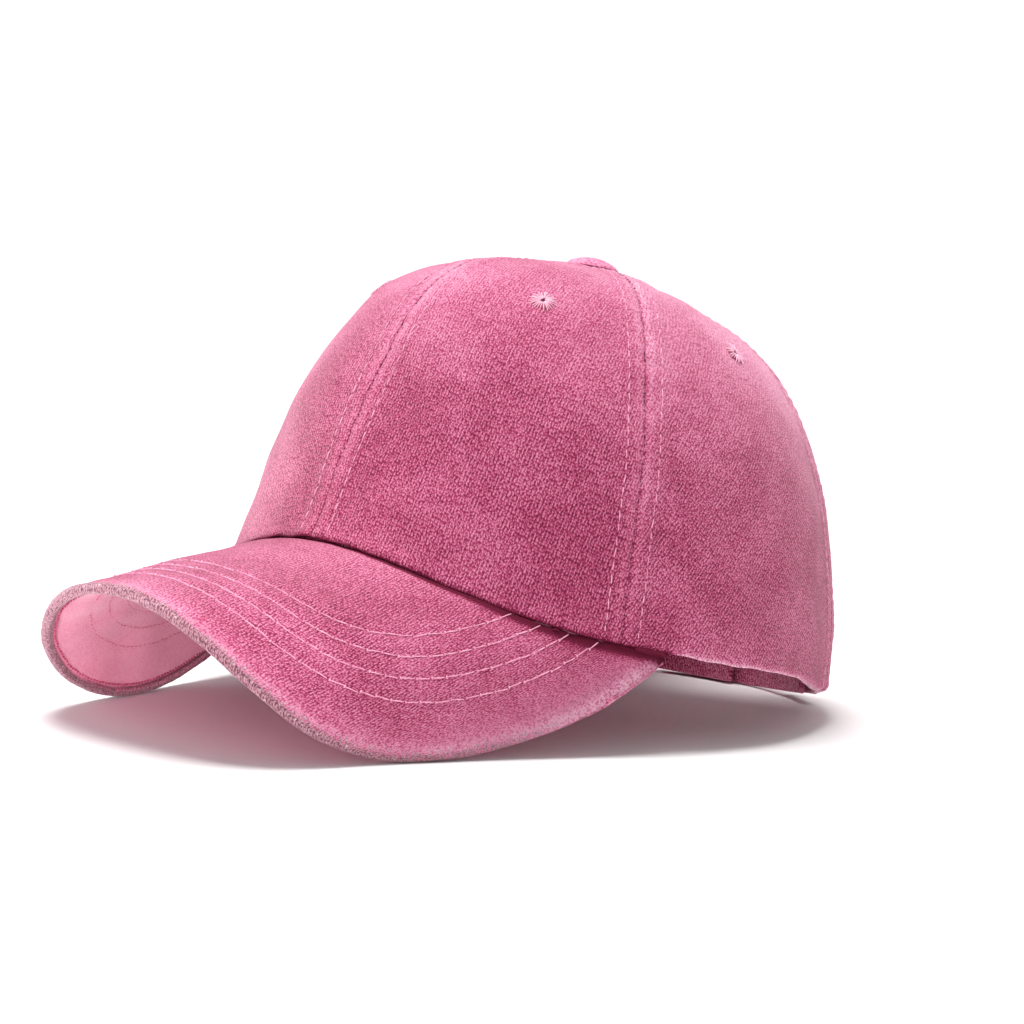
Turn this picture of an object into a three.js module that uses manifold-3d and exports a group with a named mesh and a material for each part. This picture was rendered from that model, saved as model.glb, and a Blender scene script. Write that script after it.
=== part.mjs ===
// A six-panel cotton baseball cap with a tall opening at the back for a ponytail, at its real size.
// Millimetres and degrees, +Z up, the visor toward -Y, +X on the wearer's left.
// Each piece is worked out in the cap's own frame, with its hem flat, and the whole cap is then tipped
// back until it stands on the two wings of its visor and on the closure at the back.
import * as THREE from 'three';
import { mergeVertices } from 'three/addons/utils/BufferGeometryUtils.js';
import Module from 'manifold-3d';

const wasm = await Module();
wasm.setup();

// Crown
const crownHalfLength = 101;
const crownHalfWidth = 85.6;
const crownHeight = 110;
const crownTopShift = 4;
const crownWall = 1.6;
const crownTopHole = 3.2;
const panelBulge = 1.4;
const seamGap = 0.3;
const frontSeamAngle = 61.5;
const rearSeamAngle = 122;
const hemSideRise = 1.5;
const hemSideRiseAngle = 101;
const hemSideRiseSpread = 26;
const panelColumns = 9;
const panelRows = 13;

// Sections of the crown from the hem up: shares of its height, and of its half length or half width,
// along the front and along the back
const crownSections = [
  { height: 0, front: 1, back: 1.035 },
  { height: 0.125, front: 0.966, back: 1.024 },
  { height: 0.25, front: 0.932, back: 1.006 },
  { height: 0.373, front: 0.9, back: 0.979 },
  { height: 0.494, front: 0.864, back: 0.94 },
  { height: 0.611, front: 0.82, back: 0.881 },
  { height: 0.722, front: 0.762, back: 0.8 },
  { height: 0.819, front: 0.686, back: 0.69 },
  { height: 0.897, front: 0.587, back: 0.558 },
  { height: 0.953, front: 0.465, back: 0.41 },
  { height: 0.988, front: 0.325, back: 0.262 },
  { height: 1.008, front: 0.175, back: 0.126 },
  { height: 1.022, front: 0, back: 0 },
];

// Eyelets and top button
const eyeletDiameter = 9;
const eyeletHoleDiameter = 2.6;
const eyeletThickness = 2.6;
const eyeletHeightShare = 0.835;
const eyeletAngles = { front: 34, side: 92.5, back: 147 };
const buttonDiameter = 16;
const buttonHeight = 4.6;
const buttonShankDiameter = 3.6;
const buttonShankLength = 7;
const seatGap = 0.3;

// Visor
const visorReach = 65;
const visorHalfSpan = 82;
const visorDrop = 43;
const visorFrontHeight = 12;
const visorRiseAngle = 60;
const visorEndAngle = 70;
const visorBoard = 1.7;
const visorUnderCloth = 1;
const visorRollThickness = 3.1;
const visorRollWidth = 3.4;
const visorStations = 40;
const visorRows = 6;
const visorEndTrim = 0.018;
const visorSettleShare = 0.08;
const visorUnderTrim = 1;

// Points of the visor's edge from its middle to its end on the wearer's left. side and drop are shares
// of the visor's half span and drop, forward is a share of the way from its end to its front, and hem
// is the share of the end's angle at which the straight line from this point meets the crown
const visorEdge = [
  { side: 0, forward: 1, drop: 0.295, hem: 0 },
  { side: 0.203, forward: 0.99, drop: 0.349, hem: 0.164 },
  { side: 0.386, forward: 0.95, drop: 0.502, hem: 0.331 },
  { side: 0.53, forward: 0.872, drop: 0.716, hem: 0.486 },
  { side: 0.62, forward: 0.755, drop: 0.912, hem: 0.636 },
  { side: 0.68, forward: 0.608, drop: 0.993, hem: 0.771 },
  { side: 0.749, forward: 0.449, drop: 0.928, hem: 0.9 },
  { side: 0.834, forward: 0.292, drop: 0.735, hem: 0.964 },
  { side: 0.923, forward: 0.149, drop: 0.456, hem: 0.989 },
  { side: 1, forward: 0, drop: 0.04, hem: 1 },
];

// Sweatband, opening, binding and closure
const sweatbandHeight = 31;
const sweatbandWall = 1.2;
const sweatbandInset = 0.8;
const openingHalfWidth = 38;
const openingHeight = 104;
const openingSquareness = 0.82;
const bindingWidth = 5;
const bindingProud = 0.7;
const bindingThickness = 3;
const strapHeight = 24;
const strapWall = 2.2;
const strapOverlapLeft = 24;
const strapOverlapRight = 10;
const strapAnchor = 13;
const strapDrop = 0.7;
const fastenerWall = 1.2;
const fastenerMargin = 3;
const restFlatDepth = 0.55;

const raspberry = '#c4476f';
const salmon = '#d9788a';
const deepPink = '#a83259';
const palePink = '#e3a3b4';

// Helpers

function lerp(from, to, share) {
  return from + (to - from) * share;
}

// A smooth curve through one column of a table, by the share of its rows; before the first row it runs
// straight on
function tableValue(table, column, share) {
  const last = table.length - 1;
  const value = (row) => table[row][column];
  if (share < 0) {
    return value(0) + (value(1) - value(0)) * share * last;
  }
  const scaled = Math.min(share, 1) * last;
  const index = Math.min(Math.floor(scaled), last - 1);
  const start = value(index);
  const end = value(index + 1);
  const slopeStart = index > 0 ? (end - value(index - 1)) / 2 : end - start;
  const slopeEnd = index + 2 <= last ? (value(index + 2) - start) / 2 : end - start;
  const u = scaled - index;
  return (2 * u ** 3 - 3 * u ** 2 + 1) * start + (u ** 3 - 2 * u ** 2 + u) * slopeStart
    + (3 * u ** 2 - 2 * u ** 3) * end + (u ** 3 - u ** 2) * slopeEnd;
}

function sectionValue(column, place) {
  return tableValue(crownSections, column, place);
}

// The lowest place along the sections, 0 at the hem and 1 at the top, that lies at a height
function placeAtHeight(height) {
  let low = -0.2;
  let high = 1;
  for (let step = 0; step < 40; step += 1) {
    const middle = (low + high) / 2;
    if (sectionValue('height', middle) * crownHeight < height) {
      low = middle;
    } else {
      high = middle;
    }
  }
  return (low + high) / 2;
}

// How far the panel at this angle swells out between its seams, -0.5 at a seam to 0.5 midway
function panelSwell(angle) {
  const around = Math.abs(THREE.MathUtils.euclideanModulo(angle + 180, 360) - 180);
  const seams = [0, frontSeamAngle, rearSeamAngle, 180];
  const panel = seams.findIndex((seam, index) => around >= seam && around <= (seams[index + 1] ?? 181));
  const start = seams[Math.min(panel, 2)];
  const end = seams[Math.min(panel, 2) + 1];
  return Math.sin(Math.PI * (around - start) / (end - start)) - 0.5;
}

// A point on the outside of the crown: angle 0 in front, 90 on the wearer's left
function crownSurface(angle, place) {
  const turn = THREE.MathUtils.degToRad(angle);
  const frontness = (1 + Math.cos(turn)) / 2;
  const share = lerp(sectionValue('back', place), sectionValue('front', place), frontness);
  const swell = panelBulge * panelSwell(angle) * Math.sin(Math.PI * THREE.MathUtils.clamp(place, 0, 1));
  const height = sectionValue('height', place);
  return new THREE.Vector3(
    (crownHalfWidth * share + swell) * Math.sin(turn),
    -(crownHalfLength * share + swell) * Math.cos(turn) + crownTopShift * -height,
    crownHeight * height,
  );
}

// A point in the crown's wall, at a depth under its outside
function crownPoint(angle, place, depth) {
  const step = 0.004;
  const along = crownSurface(angle + 1, place).sub(crownSurface(angle - 1, place));
  const up = crownSurface(angle, place + step).sub(crownSurface(angle, place - step));
  const normal = along.cross(up).normalize();
  return crownSurface(angle, place).addScaledVector(normal, -depth);
}

// Millimetres along the crown for each degree of angle
function lengthPerDegree(angle, place) {
  return crownSurface(angle + 0.5, place).distanceTo(crownSurface(angle - 0.5, place));
}

// The angle from the middle of the back that lies at a distance along the crown
function angleFromBack(distance, place) {
  return 180 - distance / lengthPerDegree(180, place);
}

// One closed solid through stations: each places the same closed outline, whose first half runs along one
// side and whose second half runs back along the other, so that strips between the halves cap both ends
function sweptSolid(stations, outline, pointAt) {
  const count = outline.length;
  const positions = [];
  const triangles = [];
  for (const station of stations) {
    for (const [across, through] of outline) {
      positions.push(...pointAt(station, across, through).toArray());
    }
  }
  for (let station = 0; station < stations.length - 1; station += 1) {
    for (let corner = 0; corner < count; corner += 1) {
      const here = station * count + corner;
      const beside = station * count + (corner + 1) % count;
      triangles.push(here, beside, here + count, beside, beside + count, here + count);
    }
  }
  const last = (stations.length - 1) * count;
  for (let near = 0; near < count / 2 - 1; near += 1) {
    const far = count - 1 - near;
    triangles.push(near, far, near + 1, near + 1, far, far - 1);
    triangles.push(last + near, last + near + 1, last + far, last + near + 1, last + far - 1, last + far);
  }
  return outwardGeometry(positions, triangles);
}

// A geometry from points and triangles, turned so that its faces point out
function outwardGeometry(positions, triangles) {
  const point = (index) => new THREE.Vector3().fromArray(positions, index * 3);
  let volume = 0;
  for (let index = 0; index < triangles.length; index += 3) {
    const [a, b, c] = triangles.slice(index, index + 3).map(point);
    volume += a.dot(b.cross(c));
  }
  const geometry = new THREE.BufferGeometry();
  geometry.setAttribute('position', new THREE.Float32BufferAttribute(positions, 3));
  geometry.setIndex(volume < 0 ? triangles.toReversed() : triangles);
  geometry.computeVertexNormals();
  return geometry;
}

function toManifold(geometry) {
  const bare = geometry.clone();
  bare.deleteAttribute('normal');
  bare.deleteAttribute('uv');
  const merged = mergeVertices(bare, 1e-4);
  return new wasm.Manifold(new wasm.Mesh({
    numProp: 3,
    vertProperties: new Float32Array(merged.attributes.position.array),
    triVerts: new Uint32Array(merged.index.array),
  }));
}

function cutAway(geometry, cutter) {
  const mesh = toManifold(geometry).subtract(toManifold(cutter)).getMesh();
  const result = new THREE.BufferGeometry();
  result.setAttribute('position', new THREE.Float32BufferAttribute(mesh.vertProperties, 3));
  result.setIndex([...mesh.triVerts]);
  result.computeVertexNormals();
  return result;
}

function cloth(color) {
  return new THREE.MeshStandardMaterial({ color, roughness: 0.92, metalness: 0 });
}

function namedMesh(name, geometry, color) {
  const mesh = new THREE.Mesh(geometry, cloth(color));
  mesh.name = name;
  return mesh;
}

// Evenly spaced shares from 0 to 1
function shares(steps) {
  return Array.from({ length: steps + 1 }, (_, index) => index / steps);
}

// The outline of a wall: up its outside and down its inside
function wallOutline(rows) {
  const up = shares(rows);
  return [...up.map((row) => [row, 0]), ...up.toReversed().map((row) => [row, 1])];
}

// Visor sheet

// A smooth hill of height 1 at a middle, 0 at a spread from it
function hill(value, middle, spread) {
  const share = Math.min(Math.abs(value - middle) / spread, 1);
  return (1 + Math.cos(Math.PI * share)) / 2;
}

// The crown's lower edge: it rises over the visor in front, and a little at each side
function hemHeight(angle) {
  const around = Math.abs(angle);
  return visorFrontHeight * hill(around, 0, visorRiseAngle)
    + hemSideRise * hill(around, hemSideRiseAngle, hemSideRiseSpread);
}

function hemPlace(angle, clearance) {
  return placeAtHeight(hemHeight(angle) + clearance);
}

const visorSections = [
  ...visorEdge.slice(1).toReversed().map((row) => ({ ...row, side: -row.side, hem: -row.hem })),
  ...visorEdge,
];

// A point of the visor's edge, by the share of the way round it from the wearer's right to the left
function visorEdgePoint(around) {
  const end = -crownHalfLength * Math.cos(THREE.MathUtils.degToRad(visorEndAngle));
  const front = -crownHalfLength * crownSections[0].front - visorReach;
  return new THREE.Vector3(
    visorHalfSpan * tableValue(visorSections, 'side', around),
    lerp(end, front, tableValue(visorSections, 'forward', around)),
    -visorDrop * tableValue(visorSections, 'drop', around),
  );
}

// Out is 0 where the visor meets the outside of the crown and 1 at its edge
function visorSurface(around, out) {
  const angle = visorEndAngle * tableValue(visorSections, 'hem', around);
  const inner = crownPoint(angle, hemPlace(angle, -seatGap / 2), 0);
  return inner.lerp(visorEdgePoint(around), out);
}

// The way up from the visor's sheet along one of its straight lines; it settles near the visor's ends
function visorNormal(around) {
  const step = 0.02;
  const settled = THREE.MathUtils.clamp(around, visorSettleShare, 1 - visorSettleShare);
  const across = visorSurface(settled + step, 0.5).sub(visorSurface(settled - step, 0.5));
  const forward = visorSurface(settled, 1).sub(visorSurface(settled, 0));
  return forward.cross(across).normalize();
}

// A point at a depth under the visor's top
function visorPoint(around, out, depth) {
  return visorSurface(around, out).addScaledVector(visorNormal(around), -depth);
}

// Crown panels

const topPlace = 1 - 1 / (crownSections.length - 1) * crownTopHole / crownSurface(90, 1 - 1 / 12).x;

// Half the opening's width and its place up the back, from the hem at 0 degrees to its top at 90
function openingEdge(turn, inset) {
  const radians = THREE.MathUtils.degToRad(turn);
  const width = (openingHalfWidth - inset) * Math.max(Math.cos(radians), 0) ** openingSquareness;
  const rise = Math.sin(radians) ** openingSquareness;
  return { width, place: placeAtHeight((openingHeight - inset) * rise) };
}

// A panel between two seams; its columns keep half the seam's gap from each seam
function panelSolid(side, startAngle, endAngle) {
  const place = (column, row, through) => {
    const hem = hemPlace(lerp(startAngle, endAngle, column), seatGap);
    const up = lerp(hem, topPlace, row);
    const gapAngle = seamGap / 2 / lengthPerDegree((startAngle + endAngle) / 2, up);
    const angle = lerp(startAngle + gapAngle, endAngle - gapAngle, column);
    return crownPoint(side * angle, up, through * crownWall);
  };
  return sweptSolid(shares(panelColumns), wallOutline(panelRows), place);
}

// A back panel stops at the opening's edge, so its rows follow the edge's own curve up to its top
function backPanelSolid(side) {
  const edgeRows = 11;
  const upperRows = 3;
  const rows = shares(edgeRows).map((share) => openingEdge(share * 90, 0));
  const archTop = rows.at(-1).place;
  for (const share of shares(upperRows).slice(1)) {
    rows.push({ width: 0, place: lerp(archTop, topPlace, share) });
  }
  const outline = [
    ...rows.map((_, index) => [index, 0]),
    ...rows.map((_, index) => [index, 1]).toReversed(),
  ];
  return sweptSolid(shares(panelColumns), outline, (column, row, through) => {
    const { width, place } = rows[row];
    const seamSide = rearSeamAngle + seamGap / 2 / lengthPerDegree(rearSeamAngle, place);
    const edge = angleFromBack(Math.max(width, seamGap / 2), place);
    return crownPoint(side * lerp(seamSide, edge, column), place, through * crownWall);
  });
}

// Lays a geometry that was made round +Z, with its base at 0, square to the crown
function seatOnCrown(geometry, angle, place, depth) {
  const outside = crownPoint(angle, place, depth);
  const normal = crownPoint(angle, place, 0).sub(crownPoint(angle, place, 5)).normalize();
  const turn = new THREE.Quaternion().setFromUnitVectors(new THREE.Vector3(0, 0, 1), normal);
  return { geometry, position: outside, quaternion: turn };
}

function eyeletPlace() {
  return placeAtHeight(eyeletHeightShare * crownHeight);
}

function withEyeletHole(panel, angle) {
  const radius = eyeletDiameter / 2 + seatGap;
  const drill = new THREE.CylinderGeometry(radius, radius, crownWall * 6, 20);
  drill.rotateX(Math.PI / 2);
  const { position, quaternion } = seatOnCrown(drill, angle, eyeletPlace(), crownWall / 2);
  drill.applyQuaternion(quaternion);
  drill.translate(position.x, position.y, position.z);
  return cutAway(panel, drill);
}

// A thread ring round a small hole, thicker than the cloth that it sits in
function eyeletMesh(name, angle) {
  const outer = eyeletDiameter / 2;
  const inner = eyeletHoleDiameter / 2;
  const half = eyeletThickness / 2;
  const middle = (outer + inner) / 2;
  const profile = [
    [outer, 0], [lerp(outer, middle, 0.35), half * 0.8], [middle, half], [lerp(inner, middle, 0.35), half * 0.8],
    [inner, 0], [lerp(inner, middle, 0.35), half * -0.8], [middle, -half], [lerp(outer, middle, 0.35), half * -0.8],
    [outer, 0],
  ];
  const ring = new THREE.LatheGeometry(profile.map(([x, y]) => new THREE.Vector2(x, y)), 16);
  ring.rotateX(Math.PI / 2);
  const mesh = namedMesh(name, ring, palePink);
  const { position, quaternion } = seatOnCrown(ring, angle, eyeletPlace(), crownWall / 2);
  mesh.position.copy(position);
  mesh.quaternion.copy(quaternion);
  return mesh;
}

function crownMeshes() {
  const meshes = [];
  for (const [sideName, side] of [['left', 1], ['right', -1]]) {
    const solids = {
      front: panelSolid(side, 0, frontSeamAngle),
      side: panelSolid(side, frontSeamAngle, rearSeamAngle),
      back: backPanelSolid(side),
    };
    for (const [panelName, solid] of Object.entries(solids)) {
      const angle = side * eyeletAngles[panelName];
      meshes.push(namedMesh(`crown_${panelName}_${sideName}`, withEyeletHole(solid, angle), raspberry));
      meshes.push(eyeletMesh(`eyelet_${panelName}_${sideName}`, angle));
    }
  }
  return meshes;
}

// A cloth-covered button with a shank through the hole where the panels meet
function topButtonMesh() {
  const radius = buttonDiameter / 2;
  const shank = buttonShankDiameter / 2;
  const profile = [new THREE.Vector2(0, -buttonShankLength), new THREE.Vector2(shank, -buttonShankLength)];
  profile.push(new THREE.Vector2(shank, seatGap));
  profile.push(new THREE.Vector2(radius - seatGap * 3, seatGap));
  for (const share of shares(5)) {
    const turn = share * Math.PI / 2;
    const low = seatGap * 4;
    profile.push(new THREE.Vector2(radius * Math.cos(turn), low + (buttonHeight - low) * Math.sin(turn)));
  }
  profile.at(-1).x = 0;
  const button = new THREE.LatheGeometry(profile, 20);
  button.rotateX(Math.PI / 2);
  const mesh = namedMesh('top_button', button, raspberry);
  mesh.position.copy(crownSurface(0, 1));
  return mesh;
}

// Visor

// Each ruled line of the visor: its place round the edge, and the shares of its length outside the crown
// at which the rolled edge starts and the cloth under it ends; the roll narrows where the visor does
const visorLines = shares(visorStations).map((share) => {
  const around = lerp(visorEndTrim, 1 - visorEndTrim, share);
  const length = visorSurface(around, 0).distanceTo(visorSurface(around, 1));
  const lip = 1 - Math.min(visorRollWidth / length, 0.6);
  return { around, lip, rim: lip - seatGap / length };
});

// The top cloth over its board, rolled round the edge
function visorTopMesh() {
  const rows = shares(visorRows);
  const rolled = visorRollThickness;
  const outline = [
    ...rows.map((share) => [share, 0]),
    [1.25, rolled * 0.12], [1.4, rolled * 0.5], [1.25, rolled * 0.88], [1, rolled], [1, visorBoard],
    ...rows.slice(0, -1).toReversed().map((share) => [share, visorBoard]),
  ];
  const geometry = sweptSolid(visorLines, outline, ({ around, lip }, across, depth) => {
    const out = across <= 1 ? lerp(0, lip, across) : lerp(lip, 1, (across - 1) / 0.4);
    return visorPoint(around, out, depth);
  });
  return namedMesh('visor_top', geometry, raspberry);
}

// The cloth under the board, which ends inside the rolled edge
function visorUnderMesh() {
  const lines = visorLines.slice(visorUnderTrim, -visorUnderTrim);
  const rows = shares(visorRows);
  const outline = [...rows.map((row) => [row, 0]), ...rows.toReversed().map((row) => [row, 1])];
  const geometry = sweptSolid(lines, outline, ({ around, rim }, across, through) => {
    const depth = visorBoard + seatGap + through * visorUnderCloth;
    return visorPoint(around, lerp(0, rim, across), depth);
  });
  return namedMesh('visor_under', geometry, salmon);
}

// Band, binding and closure

const anchorDistance = openingHalfWidth + strapAnchor;

// The band inside the hem, from one side of the opening round the front to the other
function sweatbandMesh() {
  const end = angleFromBack(anchorDistance + seatGap, 0);
  const columns = 2 * panelColumns;
  const halfStations = [
    ...shares(panelColumns).map((share) => share * frontSeamAngle),
    ...shares(panelColumns).slice(1).map((share) => lerp(frontSeamAngle, rearSeamAngle, share)),
    ...shares(Math.round(columns / 6)).slice(1).map((share) => lerp(rearSeamAngle, end, share)),
  ];
  const stations = [...halfStations.slice(1).toReversed().map((angle) => -angle), ...halfStations];
  const geometry = sweptSolid(stations, wallOutline(3), (angle, row, through) => {
    const depth = crownWall + seatGap + through * sweatbandWall;
    const low = hemPlace(angle, sweatbandInset);
    return crownPoint(angle, lerp(low, placeAtHeight(sweatbandHeight), row), depth);
  });
  return namedMesh('sweatband', geometry, deepPink);
}

// The folded tape round the opening's edge
function openingBindingMesh() {
  const turns = shares(24).map((share) => share * 180);
  const outline = [[0, 0.25], [0.2, 0], [0.8, 0], [1, 0.25], [1, 0.75], [0.8, 1], [0.2, 1], [0, 0.75]];
  const geometry = sweptSolid(turns, outline, (turn, across, through) => {
    const inset = seatGap + across * bindingWidth;
    const { width, place } = openingEdge(turn <= 90 ? turn : 180 - turn, inset);
    const angle = 180 + Math.sign(turn - 90) * width / lengthPerDegree(180, place);
    return crownPoint(angle, place, through * bindingThickness - bindingProud);
  });
  return namedMesh('opening_binding', geometry, deepPink);
}

// A piece of the closure, between two distances from the middle of the back, left positive
function closureSolid(from, to, lowHeight, highHeight, wall, depthAt) {
  const outline = wallOutline(1);
  const stations = shares(14).map((share) => lerp(from, to, share));
  return sweptSolid(stations, outline, (distance, row, through) => {
    const place = placeAtHeight(row ? highHeight : lowHeight);
    const angle = 180 - distance / lengthPerDegree(180, 0);
    return crownPoint(angle, place, depthAt(distance) + through * wall);
  });
}

const strapDepth = bindingThickness - bindingProud + seatGap;
const fastenerDepth = strapDepth + strapWall + seatGap;
const innerStrapDepth = fastenerDepth + fastenerWall + seatGap;

// The outer tab comes from the left and its lower edge is what the cap stands on
function leftStrapSolid() {
  return closureSolid(anchorDistance, -strapOverlapLeft, -strapDrop, strapHeight, strapWall, () => strapDepth);
}

// The inner tab comes from the right and steps in behind the outer one
function rightStrapMesh() {
  const stepStart = openingHalfWidth - bindingWidth / 2;
  const stepEnd = strapOverlapLeft + seatGap * 4;
  const depthAt = (distance) => {
    const share = THREE.MathUtils.smoothstep(distance, -stepStart, -stepEnd);
    return lerp(strapDepth, innerStrapDepth, share);
  };
  const geometry = closureSolid(-anchorDistance, strapOverlapRight, 0, strapHeight, strapWall, depthAt);
  return namedMesh('strap_right', geometry, raspberry);
}

function fastenerMesh() {
  const geometry = closureSolid(
    -strapOverlapLeft + fastenerMargin,
    strapOverlapRight - fastenerMargin,
    fastenerMargin,
    strapHeight - fastenerMargin,
    fastenerWall,
    () => fastenerDepth,
  );
  return namedMesh('strap_fastener', geometry, deepPink);
}

// Resting

function lowestHeight(meshes, pitch) {
  let lowest = Infinity;
  for (const mesh of meshes) {
    const { position } = mesh.geometry.attributes;
    for (let index = 0; index < position.count; index += 1) {
      lowest = Math.min(lowest, heightWhenPitched(position.getY(index), position.getZ(index), pitch));
    }
  }
  return lowest;
}

// A point's height once the front of the cap is raised by a pitch
function heightWhenPitched(y, z, pitch) {
  return z * Math.cos(pitch) - y * Math.sin(pitch);
}

const restPoint = crownPoint(180, placeAtHeight(-strapDrop), strapDepth + strapWall / 2);

function floorHeight(pitch) {
  return heightWhenPitched(restPoint.y, restPoint.z, pitch) + restFlatDepth;
}

// The pitch at which the visor's wings and the closure's lower edge touch one floor
function restingPitch(visor) {
  let low = 0;
  let high = Math.PI / 5;
  for (let step = 0; step < 40; step += 1) {
    const middle = (low + high) / 2;
    if (lowestHeight(visor, middle) < floorHeight(middle)) {
      low = middle;
    } else {
      high = middle;
    }
  }
  return (low + high) / 2;
}

// Cuts the outer tab level where it meets the floor
function levelCut(solid, pitch) {
  const size = crownHalfLength * 3;
  const ground = new THREE.BoxGeometry(size, size, size);
  ground.translate(0, 0, floorHeight(pitch) - size / 2);
  ground.rotateX(pitch);
  return cutAway(solid, ground);
}

// The whole cap, standing level, with its origin under the middle of its box
function baseballCap() {
  const visor = [visorTopMesh(), visorUnderMesh()];
  const pitch = restingPitch(visor);
  const tipped = new THREE.Group();
  tipped.add(...crownMeshes(), topButtonMesh(), ...visor, sweatbandMesh(), openingBindingMesh());
  tipped.add(namedMesh('strap_left', levelCut(leftStrapSolid(), pitch), raspberry));
  tipped.add(rightStrapMesh(), fastenerMesh());
  tipped.rotation.x = -pitch;
  const cap = new THREE.Group();
  cap.add(tipped);
  cap.updateMatrixWorld(true);
  const box = new THREE.Box3().setFromObject(cap, true);
  const middle = box.getCenter(new THREE.Vector3());
  tipped.position.set(-middle.x, -middle.y, -box.min.z);
  cap.updateMatrixWorld(true);
  return cap;
}

export default baseballCap();
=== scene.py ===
"""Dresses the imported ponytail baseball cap: washed twill, stitching, visor, binding and closure.

Every length is in metres unless its name ends in _mm. The cap's pieces are worked out in its own level
frame, with the hem flat and the visor toward -Y, and are then tipped back into the way it stands.
"""

import logging
import math
from collections.abc import Callable
from dataclasses import dataclass, field
from enum import Enum

import bpy
import numpy as np
from mathutils import Matrix, Vector


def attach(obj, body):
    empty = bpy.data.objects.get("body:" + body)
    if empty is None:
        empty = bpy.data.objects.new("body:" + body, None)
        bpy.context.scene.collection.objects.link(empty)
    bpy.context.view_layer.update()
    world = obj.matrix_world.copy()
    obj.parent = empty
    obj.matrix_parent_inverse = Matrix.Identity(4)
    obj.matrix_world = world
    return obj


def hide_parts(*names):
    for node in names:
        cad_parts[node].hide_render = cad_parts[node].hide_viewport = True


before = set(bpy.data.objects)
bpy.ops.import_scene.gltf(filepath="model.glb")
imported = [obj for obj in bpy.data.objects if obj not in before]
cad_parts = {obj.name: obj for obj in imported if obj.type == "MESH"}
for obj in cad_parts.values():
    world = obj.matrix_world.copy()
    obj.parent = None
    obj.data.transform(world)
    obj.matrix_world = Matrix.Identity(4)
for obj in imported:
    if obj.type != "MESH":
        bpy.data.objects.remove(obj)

Point = tuple[float, float, float]

LOG = logging.getLogger("ponytail_cap")
MM = 0.001
WAVE_SCALE = math.tau / 20  # a wave texture's scale at a wavelength of 1


class Slot(Enum):
    """Names of the material slots."""

    CROWN = "crown_twill"
    UNDERVISOR = "undervisor_twill"
    BAND = "band_cotton"
    THREAD = "thread"
    HOOKS = "hook_and_loop"


class Side(Enum):
    """The wearer's two sides, with the sign of X on each."""

    LEFT = 1
    RIGHT = -1

    @property
    def word(self) -> str:
        """The side's word in the names of the pieces."""
        return self.name.lower()


class Kind(Enum):
    """The kinds of panel, from the front seam to the opening."""

    FRONT = 0
    SIDE = 1
    BACK = 2

    @property
    def word(self) -> str:
        """The panel's word in the names of the pieces."""
        return self.name.lower()


# Shapes


def smooth_column(values: np.ndarray, share: np.ndarray) -> np.ndarray:
    """Reads a smooth curve through evenly spaced values.

    Args:
        values: The curve's values at even shares of its length.
        share: Where to read it, 0 at the first value and 1 at the last; below 0 it runs straight on.

    Returns:
        The curve's value at each share.
    """
    last = len(values) - 1
    slopes = np.empty(len(values))
    slopes[1:-1] = (values[2:] - values[:-2]) / 2
    slopes[0] = values[1] - values[0]
    slopes[-1] = values[-1] - values[-2]
    scaled = np.clip(share, 0, 1) * last
    index = np.minimum(scaled.astype(int), last - 1)
    u = scaled - index
    curve = (
        (2 * u**3 - 3 * u**2 + 1) * values[index]
        + (u**3 - 2 * u**2 + u) * slopes[index]
        + (3 * u**2 - 2 * u**3) * values[index + 1]
        + (u**3 - u**2) * slopes[index + 1]
    )
    return np.where(share < 0, values[0] + slopes[0] * share * last, curve)


def smooth_step(low: float, high: float, value: np.ndarray) -> np.ndarray:
    """Rises smoothly from 0 at low to 1 at high."""
    share = np.clip((value - low) / (high - low), 0, 1)
    return share * share * (3 - 2 * share)


def hill(value: np.ndarray, middle: float, spread: float) -> np.ndarray:
    """A smooth hill of height 1 at its middle and 0 at its spread."""
    share = np.minimum(np.abs(value - middle) / spread, 1)
    return (1 + np.cos(np.pi * share)) / 2


def bell(value: np.ndarray, middle: float, width: float) -> np.ndarray:
    """A bell of height 1 at its middle that has fallen to about a third at its width."""
    return np.exp(-(((value - middle) / width) ** 2))


def soft_noise(points: np.ndarray, wavelength: float, seed: int, waves: int = 14) -> np.ndarray:
    """Smooth random bumps, the same at each run.

    Args:
        points: Points, one a row, of any number of coordinates.
        wavelength: The usual distance from bump to bump.
        seed: Which bumps.
        waves: How many plane waves are added up.

    Returns:
        A value for each point, about -2 to 2.
    """
    rng = np.random.default_rng(seed)
    ways = rng.normal(size=(waves, points.shape[-1]))
    ways /= np.linalg.norm(ways, axis=1, keepdims=True)
    ways *= rng.uniform(0.7, 1.4, (waves, 1)) * math.tau / wavelength
    return np.sin(points @ ways.T + rng.uniform(0, math.tau, waves)).sum(-1) / math.sqrt(waves / 2)


@dataclass(frozen=True)
class Stance:
    """How the cap stands: its level frame is tipped back and set down on the floor."""

    tip_deg: float = 11.532
    back: float = 0.031908
    up: float = 0.020737

    def matrix(self) -> Matrix:
        """The move from the cap's level frame to the room."""
        return Matrix.Translation((0, self.back, self.up)) @ Matrix.Rotation(
            -math.radians(self.tip_deg), 4, "X"
        )


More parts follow.
